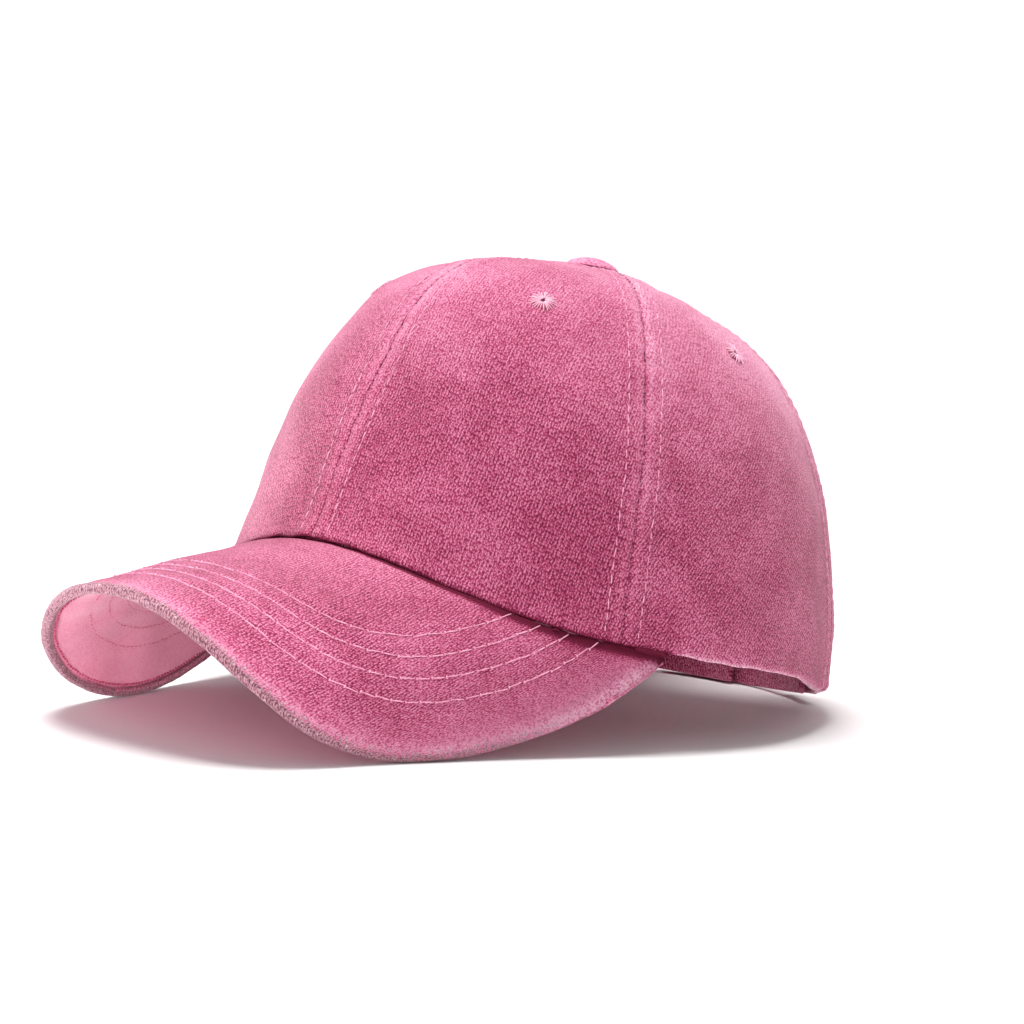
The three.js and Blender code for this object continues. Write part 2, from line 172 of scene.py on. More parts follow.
@dataclass(frozen=True)
class CrownForm:
    """The crown's outside as a smooth surface over an angle and a place up it.

    The angle is 0 in front, 90 on the wearer's left and 180 behind; the place is 0 at the hem plane and 1
    under the button. Each section gives shares of the height and of the half length, front and back.
    """

    half_length: float = 0.101
    half_width: float = 0.0856
    height: float = 0.110
    top_shift: float = 0.004
    wall: float = 0.0016
    bulge: float = 0.0014
    seams: tuple[float, ...] = (0.0, 61.5, 122.0, 180.0)
    front_hem_rise: float = 0.012
    front_hem_spread: float = 60.0
    side_hem_rise: float = 0.0015
    side_hem_angle: float = 101.0
    side_hem_spread: float = 26.0
    sections: tuple[tuple[float, float, float], ...] = (
        (0, 1, 1.035),
        (0.125, 0.966, 1.024),
        (0.25, 0.932, 1.006),
        (0.373, 0.9, 0.979),
        (0.494, 0.864, 0.94),
        (0.611, 0.82, 0.881),
        (0.722, 0.762, 0.8),
        (0.819, 0.686, 0.69),
        (0.897, 0.587, 0.558),
        (0.953, 0.465, 0.41),
        (0.988, 0.325, 0.262),
        (1.008, 0.175, 0.126),
        (1.022, 0, 0),
    )

    def column(self, number: int, place: np.ndarray) -> np.ndarray:
        """One column of the sections at each place."""
        return smooth_column(np.array(self.sections)[:, number], place)

    def swell(self, angle: np.ndarray) -> np.ndarray:
        """How far the panel swells out between its seams, -0.5 at a seam to 0.5 midway."""
        around = np.abs((angle + 180) % 360 - 180)
        edges = np.array(self.seams)
        panel = np.clip(np.searchsorted(edges, around, side="right") - 1, 0, 2)
        share = (around - edges[panel]) / (edges[panel + 1] - edges[panel])
        return np.sin(np.pi * share) - 0.5

    def surface(self, angle: np.ndarray, place: np.ndarray) -> np.ndarray:
        """Points on the outside of the crown.

        Args:
            angle: Degrees round from the front.
            place: Places up the crown.

        Returns:
            One point for each, in the cap's level frame.
        """
        angle, place = np.broadcast_arrays(np.asarray(angle, float), np.asarray(place, float))
        turn = np.radians(angle)
        frontness = (1 + np.cos(turn)) / 2
        share = self.column(2, place) * (1 - frontness) + self.column(1, place) * frontness
        swell = self.bulge * self.swell(angle) * np.sin(np.pi * np.clip(place, 0, 1))
        height = self.column(0, place)
        return np.stack(
            [
                (self.half_width * share + swell) * np.sin(turn),
                -(self.half_length * share + swell) * np.cos(turn) - self.top_shift * height,
                self.height * height,
            ],
            -1,
        )

    def normal(self, angle: np.ndarray, place: np.ndarray) -> np.ndarray:
        """The way straight out of the crown at each point."""
        place = np.minimum(place, 0.985)
        along = self.surface(angle + 1, place) - self.surface(angle - 1, place)
        up = self.surface(angle, place + 0.004) - self.surface(angle, place - 0.004)
        normal = np.cross(along, up)
        return normal / np.linalg.norm(normal, axis=-1, keepdims=True)

    def point(self, angle: np.ndarray, place: np.ndarray, depth: np.ndarray) -> np.ndarray:
        """Points at a depth under the outside of the crown."""
        return self.surface(angle, place) - self.normal(angle, place) * np.asarray(depth)[..., None]

    def place_at(self, height: np.ndarray) -> np.ndarray:
        """The place up the crown that lies at a height over the hem plane."""
        places = np.linspace(-0.2, 1, 2401)
        return np.interp(height, self.column(0, places) * self.height, places)

    def hem_height(self, angle: np.ndarray) -> np.ndarray:
        """The height of the crown's lower edge, which rises over the visor."""
        around = np.abs((np.asarray(angle) + 180) % 360 - 180)
        front = self.front_hem_rise * hill(around, 0, self.front_hem_spread)
        return front + self.side_hem_rise * hill(around, self.side_hem_angle, self.side_hem_spread)

    def length_per_degree(self, angle: float, place: np.ndarray) -> np.ndarray:
        """Metres along the crown for each degree of angle."""
        step = self.surface(angle + 0.5, place) - self.surface(angle - 0.5, place)
        return np.linalg.norm(step, axis=-1)


@dataclass
class ClothPatch:
    """A patch of cloth as a grid of points, with its own flat coordinates and normals."""

    points: np.ndarray
    normals: np.ndarray = field(init=False)
    across: np.ndarray = field(init=False)
    up: np.ndarray = field(init=False)

    def __post_init__(self) -> None:
        """Works out the normals and the distances along the cloth."""
        self.measure()

    def measure(self) -> None:
        """Measures the cloth along its rows and its middle column, and finds its normals."""
        steps = np.linalg.norm(np.diff(self.points, axis=1), axis=-1)
        self.across = np.concatenate([np.zeros((len(steps), 1)), np.cumsum(steps, axis=1)], axis=1)
        middle = self.points[:, self.points.shape[1] // 2]
        climb = np.linalg.norm(np.diff(middle, axis=0), axis=-1)
        rows = np.concatenate([[0], np.cumsum(climb)])
        self.up = np.broadcast_to(rows[:, None], self.across.shape)
        along = np.gradient(self.points, axis=1)
        rise = np.gradient(self.points, axis=0)
        normals = np.cross(along, rise)
        lengths = np.linalg.norm(normals, axis=-1, keepdims=True)
        self.normals = normals / np.maximum(lengths, 1e-12)

    @property
    def width(self) -> np.ndarray:
        """The length of each row, as a column that fits the grid."""
        return self.across[:, -1:]

    def flat(self) -> np.ndarray:
        """The cloth's flat coordinates in metres, from the middle of its first row."""
        return np.stack([self.across - self.width / 2, self.up], -1)

    def moved(self, height: np.ndarray) -> "ClothPatch":
        """The same cloth, moved out along its normals by a height at each point."""
        return ClothPatch(self.points + self.normals * height[..., None])


class Workbench:
    """Makes meshes with Blender's own tools and puts them into the room."""

    stance = Stance()
    corner_deg = 60.0
    crease_deg = 50.0

    @staticmethod
    def clear() -> None:
        """Deselects everything, so that the next tool acts on the new piece alone."""
        if bpy.context.object and bpy.context.object.mode != "OBJECT":
            bpy.ops.object.mode_set(mode="OBJECT")
        bpy.ops.object.select_all(action="DESELECT")

    @classmethod
    def pick(cls, piece: bpy.types.Object) -> None:
        """Selects one piece, so that the next tool acts on it alone."""
        cls.clear()
        piece.select_set(True)
        bpy.context.view_layer.objects.active = piece

    @classmethod
    def grid(cls, name: str, patch: ClothPatch, twill_deg: float) -> bpy.types.Object:
        """Lays a flat grid and draws it over a patch of cloth.

        Args:
            name: The piece's name.
            patch: The points that the grid is drawn to.
            twill_deg: How far the twill lines lean from the patch's columns, clockwise.

        Returns:
            The new object, with a map of the flat cloth in millimetres across and along the twill.
        """
        cls.clear()
        rows, columns = patch.points.shape[:2]
        bpy.ops.mesh.primitive_grid_add(
            x_subdivisions=columns - 1, y_subdivisions=rows - 1, size=1, calc_uvs=True
        )
        piece = bpy.context.object
        piece.name = piece.data.name = name
        mesh = piece.data
        flat = np.empty(len(mesh.vertices) * 3, np.float32)
        mesh.vertices.foreach_get("co", flat)
        flat = flat.reshape(-1, 3)
        column = np.rint((flat[:, 0] + 0.5) * (columns - 1)).astype(int)
        row = np.rint((flat[:, 1] + 0.5) * (rows - 1)).astype(int)
        mesh.vertices.foreach_set("co", patch.points[row, column].astype(np.float32).ravel())
        lean = math.radians(twill_deg)
        cloth = patch.flat()[row, column] / MM
        mapped = np.stack(
            [
                cloth[:, 0] * math.cos(lean) - cloth[:, 1] * math.sin(lean),
                cloth[:, 0] * math.sin(lean) + cloth[:, 1] * math.cos(lean),
            ],
            -1,
        )
        corners = np.empty(len(mesh.loops), np.int32)
        mesh.loops.foreach_get("vertex_index", corners)
        layer = mesh.uv_layers.active
        layer.name = "cloth"
        layer.data.foreach_set("uv", mapped[corners].astype(np.float32).ravel())
        cls.mark(piece, "cell", (row * columns + column).astype(np.float32))
        return piece

    @staticmethod
    def mark(piece: bpy.types.Object, name: str, values: np.ndarray) -> None:
        """Writes one number a vertex into a named attribute."""
        attribute = piece.data.attributes.get(name) or piece.data.attributes.new(
            name, "FLOAT", "POINT"
        )
        attribute.data.foreach_set("value", np.asarray(values, np.float32).ravel())

    @classmethod
    def mark_grid(cls, piece: bpy.types.Object, **grids: np.ndarray) -> None:
        """Writes grids of numbers into named attributes of the piece drawn over such a grid."""
        cells = np.empty(len(piece.data.vertices), np.float32)
        piece.data.attributes["cell"].data.foreach_get("value", cells)
        for name, values in grids.items():
            cls.mark(piece, name, values.ravel()[np.rint(cells).astype(int)])

    @classmethod
    def modify(cls, piece: bpy.types.Object, kind: str, **settings: object) -> None:
        """Adds a modifier with its settings and applies it."""
        cls.pick(piece)
        modifier = piece.modifiers.new(kind.lower(), kind)
        for key, value in settings.items():
            setattr(modifier, key, value)
        bpy.ops.object.modifier_apply(modifier=modifier.name)

    @classmethod
    def thicken(
        cls, piece: bpy.types.Object, wall: float, round_edge: float = 0, segments: int = 2
    ) -> None:
        """Gives a sheet its wall, on the far side from its face, and rounds its edges.

        Args:
            piece: The sheet.
            wall: Its thickness.
            round_edge: The width of the rounding, or 0 for none.
            segments: In how many steps it is rounded.
        """
        cls.modify(piece, "SOLIDIFY", thickness=wall, offset=-1.0)
        if round_edge:
            corner = {"limit_method": "ANGLE", "angle_limit": math.radians(cls.corner_deg)}
            cls.modify(piece, "BEVEL", width=round_edge, segments=segments, **corner)

    @classmethod
    def finish(
        cls, piece: bpy.types.Object, material: bpy.types.Material, slot: Slot, *nodes: str
    ) -> None:
        """Stands a piece in the room, dresses it, hides the parts that it replaces and logs its face
        count.

        Args:
            piece: The piece, in the cap's level frame.
            material: Its finish.
            slot: The finish's slot; not used.
            nodes: The nodes of the frame that it replaces.
        """
        cls.pick(piece)
        bpy.ops.object.transform_apply(location=True, rotation=True, scale=True)
        piece.data.transform(cls.stance.matrix())
        bpy.ops.object.shade_smooth_by_angle(angle=math.radians(cls.crease_deg))
        if "cell" in piece.data.attributes:
            piece.data.attributes.remove(piece.data.attributes["cell"])
        piece.data.materials.clear()
        piece.data.materials.append(material)
        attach(piece, "root")
        if nodes:
            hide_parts(*nodes)
        LOG.info("%s: %d faces", piece.name, len(piece.data.polygons))


# Finishes


def linear(colour: str) -> tuple[float, float, float, float]:
    """Turns an sRGB hex colour into the linear one that a shader takes."""
    shares = [int(colour[i : i + 2], 16) / 255 for i in (1, 3, 5)]
    return (*[s / 12.92 if s <= 0.04045 else ((s + 0.055) / 1.055) ** 2.4 for s in shares], 1.0)


class Shader:
    """One material's nodes."""

    def __init__(self, name: str) -> None:
        """Starts a material with only its surface shader and output."""
        self.material = bpy.data.materials.new(name)
        self.material.use_nodes = True
        self.tree = self.material.node_tree
        self.surface = self.tree.nodes["Principled BSDF"]

    def add(
        self, kind: str, settings: dict[str, object] | None = None, **inputs: object
    ) -> bpy.types.Node:
        """Adds a node with its settings and links.

        Args:
            kind: The node's type.
            settings: Attributes of the node.
            inputs: Input sockets by name, or by number as i0, i1; a value, or an output socket to link.

        Returns:
            The new node.
        """
        node = self.tree.nodes.new(kind)
        for key, value in (settings or {}).items():
            setattr(node, key, value)
        for key, value in inputs.items():
            socket = node.inputs[int(key[1:])] if key[0] == "i" and key[1:].isdigit() else node.inputs[
                key.replace("_", " ")
            ]
            if isinstance(value, bpy.types.NodeSocket):
                self.tree.links.new(value, socket)
            else:
                socket.default_value = value
        return node

    def place_mm(self) -> bpy.types.NodeSocket:
        """The object's own coordinates in millimetres."""
        place = self.add("ShaderNodeTexCoord").outputs["Object"]
        return self.add("ShaderNodeVectorMath", {"operation": "SCALE"}, i0=place, Scale=1 / MM).outputs[0]

    def marked(self, name: str) -> bpy.types.NodeSocket:
        """A number that is marked on the mesh."""
        return self.add("ShaderNodeAttribute", {"attribute_name": name}).outputs["Fac"]

    def noise(self, **inputs: object) -> bpy.types.NodeSocket:
        """A noise's value."""
        return self.add("ShaderNodeTexNoise", None, **inputs).outputs["Fac"]

    def maths(self, operation: str, *values: object) -> bpy.types.NodeSocket:
        """One step of arithmetic on numbers or sockets."""
        inputs = {f"i{number}": value for number, value in enumerate(values)}
        return self.add("ShaderNodeMath", {"operation": operation}, **inputs).outputs[0]

    def plus(self, first: object, second: object) -> bpy.types.NodeSocket:
        """The sum."""
        return self.maths("ADD", first, second)

    def minus(self, first: object, second: object) -> bpy.types.NodeSocket:
        """The difference."""
        return self.maths("SUBTRACT", first, second)

    def times(self, first: object, second: object) -> bpy.types.NodeSocket:
        """The product."""
        return self.maths("MULTIPLY", first, second)

    def blend(self, share: object, low: object, high: object) -> bpy.types.NodeSocket:
        """Mixes two colours by a share."""
        return self.add("ShaderNodeMix", {"data_type": "RGBA"}, i0=share, i6=low, i7=high).outputs[2]

    def spread(
        self, value: object, low: float, high: float, to_low: float = 0.0, to_high: float = 1.0
    ) -> bpy.types.NodeSocket:
        """Stretches a range of a value smoothly to another range."""
        node = self.add(
            "ShaderNodeMapRange",
            {"interpolation_type": "SMOOTHSTEP"},
            i0=value,
            i1=low,
            i2=high,
            i3=to_low,
            i4=to_high,
        )
        return node.outputs[0]

    def set(self, **values: object) -> None:
        """Sets or links the surface shader's own sockets."""
        for key, value in values.items():
            socket = self.surface.inputs[key.replace("_", " ")]
            if isinstance(value, bpy.types.NodeSocket):
                self.tree.links.new(value, socket)
            else:
                socket.default_value = value


@dataclass(frozen=True)
class WashedTwill:
    """Pigment-washed cotton twill: matt, hairy, dyed unevenly and rubbed pale on its edges.

    The eye gets steep diagonal ribs about a millimetre apart, light and dark flecks where the pigment has
    washed out of single threads, cloudy worn patches, and a pale bloom of fibre ends at grazing angles.
    The shade mark paints shade into the colour; the mark of rubbed paleness also carries painted light and
    shade.
    """

    name: str
    deep: str
    middle: str
    pale: str
    worn: str
    rib_mm: float = 0.98
    rib_share: float = 0.32
    fleck_mm: float = 0.42
    cloud_mm: float = 26.0
    fleck_share: float = 0.72
    grain_share: float = 0.1
    bump_mm: float = 0.16
    sheen: float = 0.4
    rubbed: str = "#bb8895"
    rubbed_deep: str = "#6e3e4d"
    fuzz: str = "#e6c8d0"
    edge_noise_mm: float = 0.7
    # The dark red that painted shade blends toward.
    painted_shade_colour: str = "#5c0f29"
    bloom: str = "#ffdce8"

    def build(self) -> bpy.types.Material:
        """Builds the material's nodes."""
        s = Shader(self.name)
        cloth = s.add("ShaderNodeUVMap", {"uv_map": "cloth"}).outputs[0]
        place_mm = s.place_mm()
        ribs = s.add(
            "ShaderNodeTexWave",
            {"wave_type": "BANDS", "bands_direction": "X", "wave_profile": "SIN"},
            Vector=cloth,
            Scale=WAVE_SCALE / self.rib_mm,
            Distortion=0.9,
            Detail=2.0,
            Detail_Scale=1.6,
            Detail_Roughness=0.6,
        ).outputs["Fac"]
        fineness = (1 / self.fleck_mm, 0.5 / self.fleck_mm, 1 / self.fleck_mm)
        threads = s.add("ShaderNodeMapping", None, Vector=cloth, Scale=fineness).outputs[0]
        flat = {"voronoi_dimensions": "2D"}
        beads = s.add("ShaderNodeTexVoronoi", flat, Vector=threads, Scale=1.0, Randomness=0.85)
        bead = s.spread(beads.outputs["Distance"], 0.12, 0.66, 1.0, 0.0)
        speck = beads.outputs["Color"]
        flecks = s.plus(s.times(bead, 0.55), s.times(speck, 0.45))
        grains = s.noise(Vector=place_mm, Scale=0.42, Detail=4.0, Roughness=0.62)
        clouds = s.noise(
            Vector=place_mm, Scale=1 / self.cloud_mm, Detail=4.0, Roughness=0.55, Distortion=0.3
        )
        fine = s.noise(Vector=place_mm, Scale=1 / self.edge_noise_mm, Detail=3.0)

        # Paleness marked on the mesh: rubbed places, and on the crown and button also painted light and
        # shade.
        wear = s.marked("wear")
        tone = s.times(s.spread(flecks, 0.16, 0.84, -0.5, 0.5), self.fleck_share)
        tone = s.plus(tone, s.times(s.minus(ribs, 0.5), self.rib_share))
        tone = s.times(tone, s.spread(wear, 0.1, 1.0, 1.0, 0.5))
        tone = s.plus(tone, (self.fleck_share + self.rib_share) / 2)
        tone = s.plus(tone, s.times(s.spread(grains, 0.3, 0.7), self.grain_share))
        tone = s.plus(tone, s.spread(clouds, 0.3, 0.7, -0.1, 0.16))
        patchy = s.times(wear, s.spread(fine, 0.34, 0.6, 0.2, 1.0))
        tone = s.plus(tone, s.times(patchy, 0.55))
        # Painted shade: the shade mark darkens the tone here, blends the colour toward a dark red below
        # and takes the sheen away.
        shade = s.marked("shade")
        tone = s.minus(tone, s.times(shade, 0.7))

        low = s.blend(s.spread(tone, 0.0, 0.62), linear(self.deep), linear(self.middle))
        colour = s.blend(s.spread(tone, 0.5, 1.15), low, linear(self.pale))
        colour = s.blend(s.spread(tone, 1.1, 1.7), colour, linear(self.worn))
        knap = s.plus(flecks, s.times(ribs, 0.3))
        rubbed = s.blend(s.spread(knap, 0.3, 0.95), linear(self.rubbed_deep), linear(self.rubbed))
        rubbed = s.blend(s.spread(fine, 0.56, 0.8), rubbed, linear(self.fuzz))
        frayed = s.plus(s.marked("rub"), s.spread(fine, 0.3, 0.7, -0.3, 0.3))
        colour = s.blend(s.spread(frayed, 0.35, 0.65), colour, rubbed)
        # Painted shade: blend toward the dark red.
        colour = s.blend(s.spread(shade, 0.25, 1.1, 0.0, 0.9), colour, linear(self.painted_shade_colour))

        height = s.times(ribs, 0.4)
        height = s.plus(height, s.times(bead, 0.8))
        bump = s.add("ShaderNodeBump", None, Strength=0.75, Distance=self.bump_mm * MM, Height=height)
        s.set(
            Base_Color=colour,
            Normal=bump.outputs[0],
            Roughness=0.93,
            Specular_IOR_Level=0.18,
            # Painted shade takes the sheen away.
            Sheen_Weight=s.times(s.spread(shade, 0.0, 0.8, 1.0, 0.0), self.sheen),
            Sheen_Roughness=0.45,
            Sheen_Tint=linear(self.bloom),
        )
        return s.material


@dataclass(frozen=True)
class SpunThread:
    """Spun polyester sewing thread: twisted, slightly glossy, paler than the cloth that it holds."""

    name: str = "spun polyester thread"
    deep: str = "#de80a8"
    pale: str = "#fcbfd6"
    twist_mm: float = 0.45

    def build(self) -> bpy.types.Material:
        """Builds the material's nodes."""
        s = Shader(self.name)
        place_mm = s.place_mm()
        twist = s.add(
            "ShaderNodeTexWave",
            {"wave_type": "BANDS", "bands_direction": "DIAGONAL"},
            Vector=place_mm,
            Scale=WAVE_SCALE / self.twist_mm,
            Distortion=1.5,
        ).outputs["Fac"]
        fibres = s.noise(Vector=place_mm, Scale=0.5, Detail=3.0)
        share = s.plus(s.times(twist, 0.35), s.spread(fibres, 0.3, 0.7, 0.0, 0.65))
        bump = s.add("ShaderNodeBump", None, Strength=0.5, Distance=0.05 * MM, Height=twist)
        s.set(
            Base_Color=s.blend(share, linear(self.deep), linear(self.pale)),
            Normal=bump.outputs[0],
            Roughness=0.7,
            Specular_IOR_Level=0.2,
            Sheen_Weight=0.1,
        )
        return s.material


# Sewing


@dataclass
class Sewing:
    """Short lengths of thread, modelled once and copied along rows."""

    thickness: float = 0.38 * MM
    bluntness: float = 0.45

    def stitch(self) -> bpy.types.Object:
        """Models one stitch, 1 long on X and 1 thick, from a sphere drawn out to a capsule."""
        Workbench.clear()
        bpy.ops.mesh.primitive_uv_sphere_add(segments=6, ring_count=6, radius=0.5)
        sphere = bpy.context.object
        bpy.ops.object.mode_set(mode="EDIT")
        bpy.ops.mesh.select_all(action="SELECT")
        bpy.ops.transform.rotate(value=math.pi / 2, orient_axis="Y", center_override=(0, 0, 0))
        bpy.ops.object.mode_set(mode="OBJECT")
        for vertex in sphere.data.vertices:
            around = math.hypot(vertex.co.y, vertex.co.z)
            if around > 1e-6:
                grow = 0.5 * (around / 0.5) ** self.bluntness / around
                vertex.co.y *= grow
                vertex.co.z *= grow
        return sphere

    def lay(
        self, name: str, starts: np.ndarray, ends: np.ndarray, normals: np.ndarray, arch: float
    ) -> bpy.types.Object:
        """Lays a stitch between each pair of points, arched up out of the cloth.

        Args:
            name: The new object's name.
            starts: Where each stitch leaves the cloth.
            ends: Where it goes in again.
            normals: The way out of the cloth at each.
            arch: How far its middle stands over its ends.

        Returns:
            One object with all the stitches in it.
        """
        model = self.stitch()
        shape = np.array([v.co for v in model.data.vertices])
        faces = [list(p.vertices) for p in model.data.polygons]
        bpy.data.objects.remove(model)
        along = ends - starts
        length = np.linalg.norm(along, axis=1, keepdims=True)
        ahead = along / np.maximum(length, 1e-9)
        sideways = np.cross(normals, ahead)
        sideways /= np.maximum(np.linalg.norm(sideways, axis=1, keepdims=True), 1e-9)
        out = np.cross(ahead, sideways)
        reach, broad, high = shape[:, 0], shape[:, 1], shape[:, 2]
        lift = arch * (1 - (2 * reach) ** 2) + high * self.thickness
        middle = (starts + ends) / 2
        points = (
            middle[:, None]
            + ahead[:, None] * (reach[None, :, None] * length[:, None])
            + sideways[:, None] * (broad * self.thickness)[None, :, None]
            + out[:, None] * lift[None, :, None]
        )
        shifts = range(0, len(starts) * len(shape), len(shape))
        every = [[corner + shift for corner in face] for shift in shifts for face in faces]
        mesh = bpy.data.meshes.new(name)
        mesh.from_pydata(points.reshape(-1, 3).tolist(), [], every)
        mesh.update()
        piece = bpy.data.objects.new(name, mesh)
        bpy.context.scene.collection.objects.link(piece)
        return piece


@dataclass
class StitchRow:
    """A line on the cloth, cut into stitches of even length."""

    points: np.ndarray
    normals: np.ndarray
    pitch: float
    share: float = 0.72
    wobble: float = 0.12 * MM
    seed: int = 1

    def cut(self) -> tuple[np.ndarray, np.ndarray, np.ndarray]:
        """Cuts the line.

        Returns:
            The starts, the ends and the normals of its stitches.
        """
        steps = np.linalg.norm(np.diff(self.points, axis=0), axis=1)
        length = np.concatenate([[0], np.cumsum(steps)])
        count = max(int(length[-1] / self.pitch), 1)
        rng = np.random.default_rng(self.seed)
        pitch = length[-1] / count
        start = (np.arange(count) + (1 - self.share) / 2) * pitch
        start = start + rng.uniform(-0.05, 0.05, count) * pitch
        end = start + self.share * pitch * rng.uniform(0.9, 1.08, count)

        def read(values: np.ndarray, where: np.ndarray) -> np.ndarray:
            """Reads the line's points or normals at distances along it."""
            return np.stack([np.interp(where, length, values[:, axis]) for axis in range(3)], 1)

        normals = read(self.normals, (start + end) / 2)
        normals /= np.linalg.norm(normals, axis=1, keepdims=True)
        starts, ends = read(self.points, start), read(self.points, end)
        ahead = ends - starts
        sideways = np.cross(normals, ahead / np.linalg.norm(ahead, axis=1, keepdims=True))
        starts = starts + sideways * rng.normal(0, self.wobble, (count, 1))
        ends = ends + sideways * rng.normal(0, self.wobble, (count, 1))
        return starts, ends, normals


def joined(rows: list[tuple[np.ndarray, np.ndarray, np.ndarray]]) -> list[np.ndarray]:
    """Puts the stitches of several rows together."""
    return [np.concatenate([row[part] for row in rows]) for part in range(3)]


# Crown


@dataclass
class Crown:
    """Six panels of washed twill with topstitched flat seams, eyelets and a covered button."""

    twill: bpy.types.Material
    thread: bpy.types.Material
    bed_thread: bpy.types.Material
    hole_dark: bpy.types.Material
    button_twill: bpy.types.Material
    eyelet_thread: bpy.types.Material
    form: CrownForm = field(default_factory=CrownForm)
    spacing: float = 1.05 * MM
    girth_radius: float = 98 * MM
    panel_length: float = 152 * MM
    row_growth: float = 1.25
    top_place: float = 0.985
    seam_flat: float = 6.6 * MM
    seam_rise: float = 0.42 * MM
    groove: float = 0.22 * MM
    groove_width: float = 0.5 * MM
    row_offset: float = 5.3 * MM
    row_dent: float = 0.26 * MM
    stitch_pitch: float = 3.5 * MM
    hole_pitch: float = 2.7 * MM
    row_top: float = 0.93
    hem_roll: float = 0.45 * MM
    hem_gap: float = 0.3 * MM
    hem_lap: float = 0.25 * MM
    hem_waver: float = 0.1 * MM
    hem_curl: float = 3.7 * MM
    curl_in: tuple[float, float] = (100.0, 122.0)
    curl_out: tuple[float, float] = (142.0, 150.0)
    visor_end: tuple[float, float] = (66.0, 72.0)
    fray_start: tuple[float, float] = (66.0, 71.0)
    opening_half_width: float = 38 * MM
    opening_height: float = 104 * MM
    opening_squareness: float = 0.82
    arch_share: float = 0.80
    eyelet_height_share: float = 0.835
    eyelet_diameter: float = 9 * MM
    eyelet_hole: float = 2.0 * MM
    eyelet_strands: int = 27
    eyelet_angles: tuple[float, ...] = (34.0, 92.5, 147.0)
    eyelet_raised: tuple[float, ...] = (0.12 * MM, 0.4 * MM, 0.4 * MM)
    eyelet_inside: float = 1.5 * MM
    bed_radius: float = 2.3 * MM
    bed_thickness: float = 1.45 * MM
    bed_flatness: float = 0.62
    bed_depth: float = 0.65 * MM
    button_diameter: float = 16.8 * MM
    button_height: float = 4.6 * MM
    button_under: float = 1.9 * MM
    button_lift: float = 0.55 * MM
    button_tilt: float = 0.035
    twill_leans: tuple[float, ...] = (8.0, 34.0, 12.0)
    # How much paler each kind of panel grows toward the top: partly faded cloth, partly painted light from
    # above.
    top_fading_and_painted_light: tuple[float, ...] = (0.68, 1.05, 0.8)

    @staticmethod
    def angles_of(points: np.ndarray) -> np.ndarray:
        """How far round from the front each point is, in degrees, on either side."""
        return np.degrees(np.arctan2(np.abs(points[..., 0]), -points[..., 1]))

    def dents(self, points: np.ndarray) -> np.ndarray:
        """The soft unevenness of an unlined cotton crown, the same across a seam.

        Args:
            points: Points of the crown.

        Returns:
            How far each stands out.
        """
        stretched = points * np.array([1.0, 1.0, 1.7])
        broad = 0.42 * MM * soft_noise(stretched, 0.070, 11)
        small = 0.09 * MM * soft_noise(stretched, 0.024, 12)
        return broad + small

    def seam_relief(self, distance: np.ndarray, along: np.ndarray, seed: int) -> np.ndarray:
        """The flat seam allowance, its groove, the dents of its stitches and its puckers.

        Args:
            distance: How far each point is from the seam.
            along: How far up the seam it is.
            seed: Which puckers.

        Returns:
            How far each point stands out.
        """
        beyond = smooth_step(self.seam_flat - 0.7 * MM, self.seam_flat + 0.9 * MM, distance)
        rise = self.seam_rise * (1 - beyond)
        groove = -self.groove * bell(distance, 0, self.groove_width)
        beat = 0.7 + 0.3 * np.cos(math.tau * along / self.stitch_pitch)
        dent = -self.row_dent * beat * bell(distance, self.row_offset, 0.75 * MM)
        flat = np.stack([along, distance * 0.45], -1)
        depth = (0.16 if seed < 23 else 0.07) * MM
        pucker = depth * soft_noise(flat, 0.0085, seed) * np.exp(-distance / (7.5 * MM))
        return rise + groove + dent + pucker

    def opening_edge(
        self, turn: np.ndarray, inset: float | np.ndarray
    ) -> tuple[np.ndarray, np.ndarray]:
        """The ponytail opening's outline, from the hem at 0 degrees to its top at 90.

        Args:
            turn: Degrees along the outline.
            inset: How far inside it.

        Returns:
            Half its width there, and the place up the crown.
        """
        radians, square = np.radians(turn), self.opening_squareness
        width = (self.opening_half_width - inset) * np.maximum(np.cos(radians), 0) ** square
        rise = (self.opening_height - inset) * np.sin(radians) ** square
        return width, self.form.place_at(rise)

    def panel_patch(self, kind: Kind, side: Side) -> ClothPatch:
        """The smooth surface of one panel, its columns from seam to seam."""
        start, end = self.form.seams[kind.value : kind.value + 2]
        columns = int(math.radians(end - start) * self.girth_radius / self.spacing)
        rows = int(self.panel_length / self.spacing)
        across = np.linspace(0, 1, columns + 1)[None, :]
        upward = np.linspace(0, 1, rows + 1)[:, None] ** self.row_growth
        if kind is Kind.BACK:
            angle, place = self.back_layout(across, upward, start)
        else:
            angle = start + (end - start) * across + 0 * upward
            over_visor = 1 - smooth_step(*self.visor_end, angle)
            lap = (self.hem_gap + self.hem_lap) * over_visor - self.hem_gap
            lap = lap + self.hem_waver * soft_noise(angle[..., None] * 1.7 * MM, 0.016, 17 + side.value)
            hem = self.form.place_at(self.form.hem_height(angle) - lap)
            place = hem + (self.top_place - hem) * upward
        if side is Side.RIGHT:
            angle, place = -angle[:, ::-1], place[:, ::-1]
        return ClothPatch(self.form.surface(angle, place))

